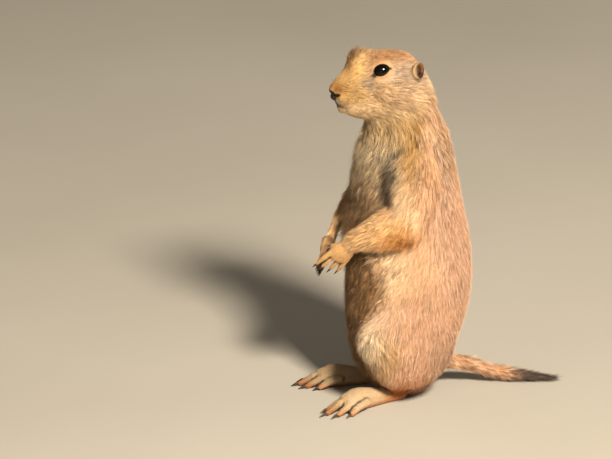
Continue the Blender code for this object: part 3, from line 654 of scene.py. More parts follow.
@dataclass
class Skin:
    """One skin in place of all the flesh nodes.

    Attributes:
        posture: Where body and head stand.
        furs: The coat of each node.
        growth: How far each solid is grown, so that the thin cuts close.
        voxel: Size of the finest faces, on head, hands and feet.
        budget: Triangles of the finished skin.
        folds: How often the skin of the nape is relaxed besides.
        crisp: How much less the face is relaxed, as a share.
        bald: Top and back of the head behind this, and nearer the middle than that, is
            thinned like the body.
    """

    posture: Posture
    furs: dict[str, Fur]
    growth: float = 0.36
    voxel: float = 0.62
    budget: int = 176_000
    folds: float = 36.0
    crisp: float = 0.75
    bald: tuple[float, float] = (-6.0, 16.0)

    EYE_ROOM = (13.0, 13.0, 13.0)
    NOSE = Oval((0.0, -62.0, -25.0), (11.0, 11.0, 11.0))
    NAPE = Oval((0.0, 26.0, 229.0), (26.0, 13.0, 17.0))

    def build(self) -> Surface:
        """Makes the surface, still out at the tips of the coat.

        Returns:
            The skin's surface.
        """
        grown, faces, owners = self._grown()
        points, triangles = self._remeshed(grown, faces)
        points, triangles = self._largest(points, triangles)
        tree = BVHTree.FromPolygons([tuple(p) for p in grown], [tuple(f) for f in faces])
        labels = self._owners(points, tree, owners)
        points, triangles = self._thinned(points, triangles, labels)
        labels = self._owners(points, tree, owners)
        surface = Surface(points, triangles, labels, list(self.furs))
        self._smooth(surface)
        return surface

    def _grown(self) -> tuple[Array, Array, Array]:
        """All flesh solids, each grown a little.

        Returns:
            Vertices, triangles, and for each triangle the number of its node.
        """
        points, faces, owners = [], [], []
        start = 0
        for number, name in enumerate(self.furs):
            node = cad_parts[name]
            mesh = bmesh.new()
            mesh.from_mesh(node.data)
            mesh.transform(node.matrix_world)
            bmesh.ops.remove_doubles(mesh, verts=mesh.verts, dist=1e-6)
            bmesh.ops.triangulate(mesh, faces=mesh.faces)
            mesh.normal_update()
            mesh.verts.index_update()
            points += [v.co + v.normal * self.growth * MM for v in mesh.verts]
            faces += [[v.index + start for v in f.verts] for f in mesh.faces]
            owners += [number] * len(mesh.faces)
            start += len(mesh.verts)
            mesh.free()
        return np.array(points), np.array(faces), np.array(owners)

    def _remeshed(self, points: Array, faces: Array) -> tuple[Array, Array]:
        """One closed surface round all the solids.

        Args:
            points: Their vertices.
            faces: Their triangles.

        Returns:
            Vertices and triangles of the surface.
        """

        def modify(flesh: bpy.types.Object) -> None:
            """Adds the remesh modifier.

            Args:
                flesh: The object with all the solids.
            """
            remesh = flesh.modifiers.new("remesh", "REMESH")
            remesh.mode = "VOXEL"
            remesh.voxel_size = self.voxel * MM

        return modified(points, faces, modify)

    def _largest(self, points: Array, faces: Array) -> tuple[Array, Array]:
        """Drops every loose scrap but the largest piece.

        Args:
            points: Vertices.
            faces: Triangles.

        Returns:
            Vertices and triangles of the largest piece.
        """
        group = np.arange(len(points))
        while True:
            lowest = group[faces].min(axis=1)
            fresh = group.copy()
            for k in range(3):
                np.minimum.at(fresh, faces[:, k], lowest)
            fresh = fresh[fresh]
            if (fresh == group).all():
                break
            group = fresh
        keep = group == np.bincount(group).argmax()
        order = np.cumsum(keep) - 1
        return points[keep], order[faces[keep[faces[:, 0]]]]

    def _owners(self, points: Array, tree: BVHTree, owners: Array) -> Array:
        """The node that each point lies nearest to.

        Args:
            points: Vertices.
            tree: Search tree of the grown solids.
            owners: Node number of each of its triangles.

        Returns:
            Node numbers.
        """
        found = [tree.find_nearest(point)[2] for point in points.tolist()]
        return owners[np.array(found)]

    def _thinned(self, points: Array, faces: Array, labels: Array) -> tuple[Array, Array]:
        """Fewer, larger faces where no fine detail lies.

        Args:
            points: Vertices.
            faces: Triangles.
            labels: Node number of each vertex.

        Returns:
            Vertices and triangles of the thinned surface.
        """
        fine = np.array([fur.fine for fur in self.furs.values()])[labels]
        head = self.posture.in_head(points)
        back = (head[:, 1] > self.bald[0]) & (np.abs(head[:, 0]) < self.bald[1])
        fine &= ~(back & (labels == list(self.furs).index("head")))

        def modify(thin: bpy.types.Object) -> None:
            """Adds the decimate modifier, which works on the coarse part.

            Args:
                thin: The object with the surface.
            """
            group = thin.vertex_groups.new(name="coarse")
            group.add(np.flatnonzero(~fine).tolist(), 0.5, "REPLACE")
            decimate = thin.modifiers.new("thin", "DECIMATE")
            decimate.vertex_group = group.name
            decimate.ratio = min(1.0, self.budget / len(faces))

        thinned, triangles = modified(points / MM, faces, modify)
        return thinned * MM, triangles

    def _smooth(self, surface: Surface) -> None:
        """Takes out facets, less so round the eyes, nose and mouth.

        Args:
            surface: The surface, changed in place.
        """
        rounds = np.array([fur.smooth for fur in self.furs.values()], dtype=float)
        rounds = rounds[surface.labels]
        head = self.posture.in_head(surface.points)
        detail = np.zeros(len(head))
        for side in Side:
            eye = (Eye.PLACE[0] * side.value, Eye.PLACE[1], Eye.PLACE[2])
            detail = np.maximum(detail, Oval(eye, self.EYE_ROOM).share(head))
        detail = np.maximum(detail, self.NOSE.share(head))
        rounds += self.folds * self.NAPE.share(self.posture.in_body(surface.points))
        rounds = surface.blurred(rounds * (1.0 - self.crisp * detail), 6)
        surface.relax(np.maximum(np.round(rounds), 2.0))


# ---------------------------------------------------------------- eye


@dataclass(frozen=True)
class Eye:
    """One eyeball and the dark rim of its lids.

    Attributes:
        posture: Where the head stands.
        side: Left or right.
        radius: Of the eyeball.
        long: Half length of the almond between the lids.
        high: Half height of it.
        tilt: Degrees by which the front corner is the lower one.
        rim: Radius of the bare rim.
        proud: How far the middle of the rim stands off the eyeball.
        cornea: How far the cornea stands out, as a share of the radius.
    """

    posture: Posture
    side: Side
    radius: float = 6.6
    long: float = 6.25
    high: float = 4.3
    tilt: float = 16.0
    rim: float = 0.27
    proud: float = 0.42
    cornea: float = 0.035

    PLACE = (13.8, -29.1, -7.2)
    LOOK = (0.93, -0.27, 0.20)
    IRIS = (0.0070, 0.0045, 0.0035)
    LID = (0.022, 0.014, 0.010)

    def centre(self) -> Array:
        """Centre of the eyeball in the head frame."""
        return np.array(self.PLACE) * (self.side.value, 1.0, 1.0)

    def axes(self) -> Array:
        """The eye's own directions.

        Returns:
            Rows along the lids, up across them, and out of the eye.
        """
        look = Vector(self.LOOK)
        look.x *= self.side.value
        look.normalize()
        ahead = Vector((0.0, -1.0, -math.tan(math.radians(self.tilt))))
        along = (ahead - look * look.dot(ahead)).normalized()
        upward = look.cross(along)
        if upward.z < 0.0:
            upward = -upward
        return np.array([along, upward, look])

    def almond(self, steps: int, radius: float) -> Array:
        """Points round the opening, on a sphere round the eye.

        Args:
            steps: How many.
            radius: Of the sphere.

        Returns:
            Rows in the head frame.
        """
        angle = np.linspace(0.0, TURN, steps, endpoint=False)
        front = 0.5 + 0.5 * np.cos(angle)
        across = np.sin(angle)
        across = np.sign(across) * np.abs(across) ** (1.0 + 0.45 * front)
        low = np.where(across < 0.0, 0.86, 1.0)
        flat = np.stack([np.cos(angle) * self.long, across * self.high * low], axis=1)
        out = np.sqrt(np.maximum(radius * radius - (flat * flat).sum(axis=1), 0.2))
        return self.centre() + np.column_stack([flat, out]) @ self.axes()

    def openness(self, head: Array) -> Array:
        """How far points lie outside the opening.

        Args:
            head: Rows in the head frame.

        Returns:
            Below 1 inside the opening, 1 at the rim, and more outside it.
        """
        local = (head - self.centre()) @ self.axes().T
        share = np.sqrt((local[:, 0] / self.long) ** 2 + (local[:, 1] / self.high) ** 2)
        return np.where(local[:, 2] > 0.0, share, 9.0)

    def build(self) -> None:
        """Makes the eyeball and the rim, which ride on the body."""
        ball = self._ball()
        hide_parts("eye_" + self.side.label)
        for piece in (ball, self._rim()):
            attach(piece, "root")

    def _ball(self) -> bpy.types.Object:
        """The eyeball, with a cornea that stands out a little.

        Returns:
            The object.
        """
        rings, sides = 24, 40
        polar = np.linspace(0.0, math.pi, rings + 1)[1:-1]
        turn = np.linspace(0.0, TURN, sides, endpoint=False)
        a, b = np.meshgrid(polar, turn, indexing="ij")
        ball = np.stack([np.sin(a) * np.cos(b), np.sin(a) * np.sin(b), np.cos(a)], axis=-1)
        ball = np.vstack([ball.reshape(-1, 3), [[0, 0, 1], [0, 0, -1]]])
        bulge = 1.0 + self.cornea * smoothstep(0.1, 1.0, ball[:, 2])
        local = ball * bulge[:, None] * self.radius
        points = self.posture.from_head(self.centre() + local @ self.axes())
        faces = tube_faces(rings - 1, sides, False)
        last = (rings - 1) * sides
        ring = np.arange(sides)
        following = (ring + 1) % sides
        top = np.column_stack([np.full(sides, last), ring, following])
        under = np.full(sides, last + 1)
        low = np.column_stack([under, last - sides + following, last - sides + ring])
        faces = outward(points, np.vstack([faces, top, low]))
        iris = 0.3 + 0.7 * smoothstep(0.80, 0.72, ball[:, 2])
        tint = np.array(self.IRIS) * iris[:, None]
        eye = write_mesh("eyeball_" + self.side.label, points, faces, tint)
        eye.data.materials.append(Wet("eye_gloss", roughness=0.05, coat=0.12).material())
        return eye

    def _rim(self) -> bpy.types.Object:
        """The bare dark edge of both lids.

        Returns:
            The object.
        """
        steps, sides = 64, 8
        middle = self.almond(steps, self.radius + self.proud)
        points, faces = tube(middle, np.full(steps, self.rim), sides, True)
        points = self.posture.from_head(points)
        faces = outward(points, faces)
        tint = np.tile(self.LID, (len(points), 1))
        rim = write_mesh("lid_rim_" + self.side.label, points, faces, tint)
        rim.data.materials.append(Wet("lid_edge", roughness=0.35, coat=0.25).material())
        return rim


# ---------------------------------------------------------------- markings


@dataclass(frozen=True)
class Palette:
    """Colours of skin and coat, as linear red, green and blue; belly and neck hold painted
    shade.
    """

    back: Colour = (0.58, 0.330, 0.200)
    flank: Colour = (0.71, 0.430, 0.245)
    gold: Colour = (0.74, 0.510, 0.310)
    # Painted shade: the belly, pale buff on the animal, is given the dark brown of a shaded
    # belly.
    belly: Colour = (0.195, 0.098, 0.031)
    chest: Colour = (0.41, 0.305, 0.180)
    throat: Colour = (0.50, 0.310, 0.110)
    # Neck sides: golden brown, darkened with painted shadow of the jaw.
    neck: Colour = (0.31, 0.170, 0.050)
    nape: Colour = (0.46, 0.260, 0.130)
    crown: Colour = (0.48, 0.250, 0.110)
    temple: Colour = (0.47, 0.330, 0.220)
    grey: Colour = (0.40, 0.300, 0.190)
    snout: Colour = (0.40, 0.150, 0.016)
    cheek: Colour = (0.66, 0.440, 0.250)
    jaw: Colour = (0.72, 0.500, 0.270)
    ring: Colour = (0.58, 0.335, 0.155)
    bridge: Colour = (0.80, 0.500, 0.220)
    muzzle: Colour = (0.80, 0.500, 0.190)
    forelock: Colour = (0.33, 0.165, 0.065)
    ear_rim: Colour = (0.46, 0.290, 0.150)
    ear_cup: Colour = (0.13, 0.052, 0.020)
    arm: Colour = (0.64, 0.440, 0.255)
    elbow: Colour = (0.72, 0.290, 0.060)
    forearm: Colour = (0.74, 0.450, 0.210)
    hand: Colour = (0.68, 0.400, 0.170)
    thigh: Colour = (0.56, 0.310, 0.180)
    knee: Colour = (0.66, 0.500, 0.330)
    shank: Colour = (0.55, 0.300, 0.115)
    ankle: Colour = (0.52, 0.140, 0.010)
    foot: Colour = (0.58, 0.410, 0.240)
    palm: Colour = (0.15, 0.085, 0.045)
    toes: Colour = (0.24, 0.120, 0.040)
    tail: Colour = (0.58, 0.315, 0.165)
    tail_dark: Colour = (0.045, 0.034, 0.029)
    lip: Colour = (0.92, 0.82, 0.70)
    bare: Colour = (0.022, 0.014, 0.010)


@dataclass
class Markings:
    """The colours of the coat at each vertex of the skin.

    Attributes:
        surface: The skin.
        posture: Where body and head stand.
        palette: Its colours.
    """

    surface: Surface
    posture: Posture
    palette: Palette = Palette()

    # Line of the fold between chest and upper arm, which gets dark strands and painted shade.
    FURROW = (
        (12.0, -38.0, 225.0),
        (23.0, -28.0, 218.0),
        (30.0, -22.5, 207.5),
        (33.5, -22.0, 196.0),
        (35.0, -23.0, 186.0),
        (36.0, -26.0, 176.5),
        (34.5, -32.5, 169.5),
        (32.0, -39.5, 161.5),
        (28.0, -48.5, 152.0),
    )
    # Painted shade on the low back of haunches and thighs: it grows towards the back, then
    # downwards, in mm.
    RUMP_BACK = (-12.0, 34.0)
    RUMP_LOW = (78.0, 22.0)
    ELBOW = Oval((40.0, -15.0, 141.0), (15.0, 13.0, 12.0))
    # Painted shade on the chest under the arms.
    ARMPIT = Oval((13.0, -47.0, 159.0), (18.0, 11.0, 17.0))
    KNEE = Oval((34.0, -46.0, 58.0), (18.0, 20.0, 24.0))
    ANKLE = Oval((29.0, -9.0, 14.0), (18.0, 20.0, 15.0))
    TEMPLE = Oval((0.0, -12.0, -9.0), (1.0, 17.0, 11.0))
    # Painted light: two lighter patches on the cheek, over the shade of a hollow below the eye.
    CHEEK_HIGH = Oval((0.0, -27.0, -19.5), (1.0, 9.0, 7.5))
    CHEEK_LOW = Oval((0.0, -33.8, -25.5), (1.0, 9.0, 6.5))
    MUZZLE_SIDE = Oval((0.0, -42.0, -16.0), (1.0, 6.5, 5.5))
    SNOUT = Oval((0.0, -62.0, -19.5), (1.0, 4.5, 4.2))
    FORELOCK = Oval((0.0, -49.0, 3.5), (11.0, 8.5, 7.0))
    BROW = Oval((0.0, -39.0, 0.0), (1.0, 5.5, 4.0))
    EYE_FRONT = Oval((17.0, -36.0, -10.1), (3.4, 3.1, 2.1))
    EYE_REAR = Oval((18.9, -24.4, -5.1), (2.5, 2.0, 1.3))
    UPPER_LIP = Oval((5.6, -61.2, -29.6), (2.4, 3.2, 2.0))
    EAR_CUP = Oval((23.2, -2.0, -7.2), (3.4, 3.1, 6.0))
    # Painted shade in the ear opening.
    EAR_HOLE = Oval((22.0, -1.8, -10.4), (3.4, 2.4, 2.9))
    FOLLICLE = (0.75, 0.75, 0.75)

    def build(self) -> Array:
        """Works out the colours.

        Returns:
            One row for each vertex.
        """
        head_share = self.surface.share(10, "head", "ear")
        colour = self._trunk()
        colour = self._limbs(colour)
        colour = mixed(colour, self._head(), head_share)
        paws = self.surface.share(4, "hand", "foot")
        # Painted shade in hollows: lightly on the head, strongly between fingers and toes.
        colour = dimmed(colour, (0.30 * head_share + 0.90 * paws) * self._hollows())
        body = self.posture.in_body(self.surface.points)
        cloud = 1.0 + 0.05 * waves(body, 34.0, 3) + 0.05 * waves(body, 11.0, 4)
        return np.clip(colour * cloud[:, None], 0.0, 1.0)

    def _hollows(self) -> Array:
        """Painted shade: how deep each vertex lies in a hollow, such as between two toes.

        Returns:
            0 where the skin is flat or stands out, and up to 1 in narrow hollows.
        """
        surface = self.surface
        rise = (surface.blurred(surface.points, 12) - surface.points) * surface.normals()
        return smoothstep(0.03, 0.22, rise.sum(axis=1) / MM)

    def _trunk(self) -> Array:
        """Back, flanks, belly, neck and tail, with painted shade on the belly, the neck and the
        low haunches.

        Returns:
            One row for each vertex.
        """
        tone = self.palette
        surface = self.surface
        body = self.posture.in_body(surface.points)
        normal = surface.normals()
        front = surface.blurred(-normal[:, 1], 12) + 0.06 * waves(body, 26.0, 7)
        height = body[:, 2]
        colour = mixed(tone.back, tone.flank, smoothstep(-0.55, 0.10, front))
        colour = mixed(colour, tone.gold, smoothstep(0.0, 0.45, front))
        # Painted shade: the belly in its darkened colour.
        colour = mixed(colour, tone.belly, smoothstep(0.40, 0.80, front))
        # Painted shade on the low back of the haunches.
        rump_shade = smoothstep(*self.RUMP_BACK, body[:, 1]) * smoothstep(*self.RUMP_LOW, height)
        colour = dimmed(colour, 0.36 * rump_shade)
        high = smoothstep(150.0, 205.0, height)
        # Neck sides take the neck colour, which holds painted shadow of the jaw.
        upper = mixed(tone.nape, tone.neck, smoothstep(-0.45, 0.10, front))
        upper = mixed(upper, tone.chest, smoothstep(0.15, 0.60, front))
        throat = smoothstep(205.0, 232.0, height) * smoothstep(0.0, 0.4, front)
        upper = mixed(upper, tone.throat, throat)
        colour = mixed(colour, upper, high)
        tail = surface.share(4, "tail")
        along = body[:, 1] + 3.0 * waves(body, 7.0, 9)
        dark = 0.96 * smoothstep(70.0, 84.0, along)
        return mixed(colour, mixed(tone.tail, tone.tail_dark, dark), tail)

    def _limbs(self, colour: Array) -> Array:
        """Arms and legs over the trunk's colours.

        Args:
            colour: The trunk's colours.

        Returns:
            The colours with the limbs.
        """
        body = self.posture.in_body(self.surface.points)
        colour = self._arms(colour, body)
        colour = self._legs(colour, body)
        return self._paws(colour, body)

    def _arms(self, colour: Array, body: Array) -> Array:
        """Arms, elbows, and the dark strands and painted shade in the folds beside them and on
        the chest under them.

        Args:
            colour: Colours so far.
            body: The vertices in the body frame.

        Returns:
            The colours with them.
        """
        tone = self.palette
        surface = self.surface
        mirrored = folded(body)
        arm = surface.share(18, "upper_arm")
        arm *= smoothstep(6.0, -14.0, body[:, 1] + 0.35 * (body[:, 2] - 160.0))
        colour = mixed(colour, tone.arm, arm)
        colour = mixed(colour, tone.forearm, surface.share(10, "forearm"))
        colour = mixed(colour, tone.hand, surface.share(8, "hand"))
        elbow = self.ELBOW.share(mirrored) * surface.share(6, "upper_arm", "forearm")
        colour = mixed(colour, tone.elbow, 1.25 * elbow)
        # Dark strands and painted shade along the seam where the arms meet the trunk in front.
        limb = surface.share(9, "upper_arm", "forearm")
        crease_strands_and_shade = 4.0 * limb * (1.0 - limb) * smoothstep(-4.0, -16.0, body[:, 1])
        colour = dimmed(colour, 0.72 * smoothstep(0.25, 0.9, crease_strands_and_shade))
        # Dark strands and painted shade along the fold between chest and upper arm, narrower
        # near the throat.
        furrow_strands_and_shade = distance_to_line(mirrored, self.FURROW) + 1.5 * waves(body, 9.0, 21)
        furrow_strands_and_shade += 2.5 * smoothstep(204.0, 222.0, body[:, 2])
        colour = dimmed(colour, 0.80 * smoothstep(11.0, 3.0, furrow_strands_and_shade))
        # Painted shade on the chest under and behind the arms.
        armpit_shade = self.ARMPIT.share(mirrored) * surface.share(6, "torso")
        return dimmed(colour, 0.64 * armpit_shade)

    def _legs(self, colour: Array, body: Array) -> Array:
        """Thighs with painted shade on their low back, knees, shanks and ankles.

        Args:
            colour: Colours so far.
            body: The vertices in the body frame.

        Returns:
            The colours with them.
        """
        tone = self.palette
        surface = self.surface
        mirrored = folded(body)
        # Painted shade on the low back of the thighs.
        shade = 0.48 * smoothstep(*self.RUMP_BACK, body[:, 1])
        thigh = dimmed(tone.thigh, shade * smoothstep(*self.RUMP_LOW, body[:, 2]))
        colour = mixed(colour, thigh, 0.85 * surface.share(24, "thigh"))
        colour = mixed(colour, tone.shank, surface.share(14, "shank"))
        knee = self.KNEE.share(mirrored) * surface.share(6, "thigh", "shank")
        colour = mixed(colour, tone.knee, 1.2 * knee)
        return mixed(colour, tone.ankle, 1.15 * self.ANKLE.share(mirrored))

    def _paws(self, colour: Array, body: Array) -> Array:
        """Feet with dark toes, and hands with dark fingers and palms.

        Args:
            colour: Colours so far.
            body: The vertices in the body frame.

        Returns:
            The colours with them.
        """
        tone = self.palette
        surface = self.surface
        foot = surface.share(6, "foot")
        colour = mixed(colour, tone.foot, foot * smoothstep(-14.0, -34.0, body[:, 1]))
        toes = foot * smoothstep(-54.0, -74.0, body[:, 1])
        colour = mixed(colour, tone.toes, 0.78 * toes)
        colour = mixed(colour, tone.ankle, 0.55 * foot * smoothstep(6.5, 2.5, body[:, 2]))
        fingers = surface.share(4, "hand") * smoothstep(113.0, 103.0, body[:, 2])
        colour = mixed(colour, tone.toes, 0.55 * fingers)
        normal = surface.normals()
        for side in Side:
            palm = surface.share(3, "hand_" + side.label)
            palm *= smoothstep(0.0, 0.5, -side.value * normal[:, 0])
            colour = mixed(colour, tone.palm, 0.85 * palm)
        return colour

    def _head(self) -> Array:
        """Crown, cheeks, muzzle, ears and the rings round the eyes, with painted light on the
        cheeks and painted shadow under the jaw.

        Returns:
            One row for each vertex.
        """
        tone = self.palette
        head = self.posture.in_head(self.surface.points)
        side, ahead, up = np.abs(head[:, 0]), -head[:, 1], head[:, 2]
        flat = head * (0, 1, 1)
        ruffle = waves(head, 9.0, 12)
        colour = mixed(tone.cheek, tone.temple, 1.2 * self.TEMPLE.share(flat))
        colour = mixed(colour, tone.jaw, smoothstep(-27.0, -36.0, up + 1.5 * ruffle))
        # Painted light on the cheek: colour made lighter in two patches over a shaded hollow.
        colour = dimmed(colour, -0.32 * self.CHEEK_HIGH.share(flat))
        colour = dimmed(colour, -0.42 * self.CHEEK_LOW.share(flat))
        # Painted shadow under the jaw: the head's underside takes the neck's darkened colour.
        under = smoothstep(-38.0, -46.0, up) * smoothstep(34.0, 22.0, ahead)
        colour = mixed(colour, tone.neck, under)
        crown = up + 0.8 * ruffle + 0.10 * (ahead - 20.0) - 0.12 * np.maximum(side - 8.0, 0.0)
        crown = smoothstep(-6.5, 1.5, crown)
        colour = mixed(colour, tone.crown, crown * smoothstep(50.0, 36.0, ahead))
        nape = smoothstep(2.0, -12.0, ahead)
        colour = mixed(colour, tone.nape, nape * smoothstep(22.0, 12.0, side))
        front = smoothstep(38.0, 48.0, ahead)
        colour = mixed(colour, tone.muzzle, front * smoothstep(-33.0, -26.0, up))
        bridge = smoothstep(34.0, 44.0, ahead) * smoothstep(9.5, 4.0, side)
        colour = mixed(colour, tone.bridge, bridge * smoothstep(-15.0, -8.0, up))
        pale = self.MUZZLE_SIDE.share(flat) * smoothstep(6.0, 11.0, side)
        colour = mixed(colour, tone.grey, 0.9 * pale)
        colour = mixed(colour, tone.snout, 0.9 * self.SNOUT.share(flat))
        tuft = self.FORELOCK.share(head)
        colour = mixed(colour, tone.forelock, 1.2 * tuft * (0.8 + 0.5 * ruffle))
        brow = self.BROW.share(flat) * smoothstep(4.0, 8.0, side)
        colour = mixed(colour, tone.forelock, 0.35 * brow)
        colour = self._face(colour, head)
        return self._ears(colour, head)

    def _face(self, colour: Array, head: Array) -> Array:
        """Rings round the eyes, nose, lips and the dots of the whisker pads, with painted shade
        in the mouth, the nostrils and the cleft.

        Args:
            colour: Colours so far.
            head: The vertices in the head frame.

        Returns:
            The colours with them.
        """
        tone = self.palette
        for side in Side:
            eye = Eye(self.posture, side)
            share = eye.openness(head)
            reach = smoothstep(14.0, 10.5, np.linalg.norm(head - eye.centre(), axis=1))
            ring = smoothstep(1.75, 1.25, share) * reach
            colour = mixed(colour, tone.ring, 0.9 * ring)
            colour = mixed(colour, tone.bare, smoothstep(1.07, 0.98, share) * reach)
        mirrored = folded(head)
        corner = np.maximum(self.EYE_FRONT.share(mirrored), self.EYE_REAR.share(mirrored))
        colour = mixed(colour, tone.bare, smoothstep(0.28, 0.65, corner))
        lip = distance_to_line(mirrored, Lips.ROWS)
        colour = mixed(colour, tone.lip, smoothstep(0.2, 0.55, self.UPPER_LIP.share(mirrored)))
        # Dark mouth line: painted shade in the gap between the lips, black at the front under
        # the nose.
        dark = 0.9 * smoothstep(1.5, 0.7, lip) * smoothstep(52.0, 57.0, -head[:, 1])
        colour = mixed(colour, tone.bare, dark)
        colour = mixed(colour, np.array(tone.jaw) * 0.3, 0.8 * smoothstep(1.2, 0.4, lip))
        # Bare dark skin of the nose, with painted shade in the nostrils and the cleft.
        colour = mixed(colour, tone.bare, smoothstep(0.22, 0.40, Lips.bare(mirrored)))
        dots = np.zeros(len(head))
        for spot in Lips.follicles():
            dots = np.maximum(dots, Oval(spot, self.FOLLICLE).share(mirrored))
        return mixed(colour, np.array(tone.forelock) * 0.5, 0.95 * dots)

    def _ears(self, colour: Array, head: Array) -> Array:
        """Pale rims, dark cups and painted shade in the ear openings.

        Args:
            colour: Colours so far.
            head: The vertices in the head frame.

        Returns:
            The colours with the ears.
        """
        tone = self.palette
        ear = self.surface.share(3, "ear")
        colour = mixed(colour, tone.ear_rim, ear)
        mirrored = folded(head)
        cup = smoothstep(0.22, 0.5, self.EAR_CUP.share(mirrored))
        colour = mixed(colour, tone.ear_cup, ear * cup)
        # Painted shade: the ear opening nearly black.
        hole_shade = smoothstep(0.3, 0.6, self.EAR_HOLE.share(mirrored))
        return mixed(colour, tone.bare, 0.95 * ear * hole_shade)


@dataclass(frozen=True)
class Lips:
    """Where the mouth and the whisker roots are, on the left side of the head frame."""

    PAD = (4, 5)
    ROWS = (
        (0.0, -62.6, -32.6),
        (3.0, -61.2, -33.0),
        (5.6, -58.5, -34.0),
        (8.0, -54.5, -34.6),
        (10.2, -50.0, -33.4),
    )
    BARE = (
        Oval((0.0, -65.6, -25.2), (6.2, 3.6, 4.2)),
        Oval((6.0, -60.0, -24.7), (3.2, 4.4, 1.6)),
        Oval((0.0, -63.2, -31.0), (2.3, 4.0, 4.2)),
    )

    @classmethod
    def bare(cls, points: Array) -> Array:
        """How near points lie to the bare dark skin of the nose, and to the nostrils and cleft,
        whose dark is partly painted shade.

        Args:
            points: Rows in the head frame, on the left side.

        Returns:
            About 0.4 at its edge, and more inside it.
        """
        return np.max([oval.share(points) for oval in cls.BARE], axis=0)

    @classmethod
    def follicles(cls) -> list[Triple]:
        """Rows of whisker roots on the left whisker pad.

        Returns:
            Points in the head frame.
        """
        spots = []
        rows, columns = cls.PAD
        for row in range(rows):
            for column in range(columns):
                ahead = 54.0 - 1.75 * column - 0.3 * row
                up = -18.8 - 2.3 * row - 0.2 * column
                left = 9.6 + 0.75 * column + 0.35 * row - 0.12 * row * row
                spots.append((left, -ahead, up))
        return spots


# ---------------------------------------------------------------- coat


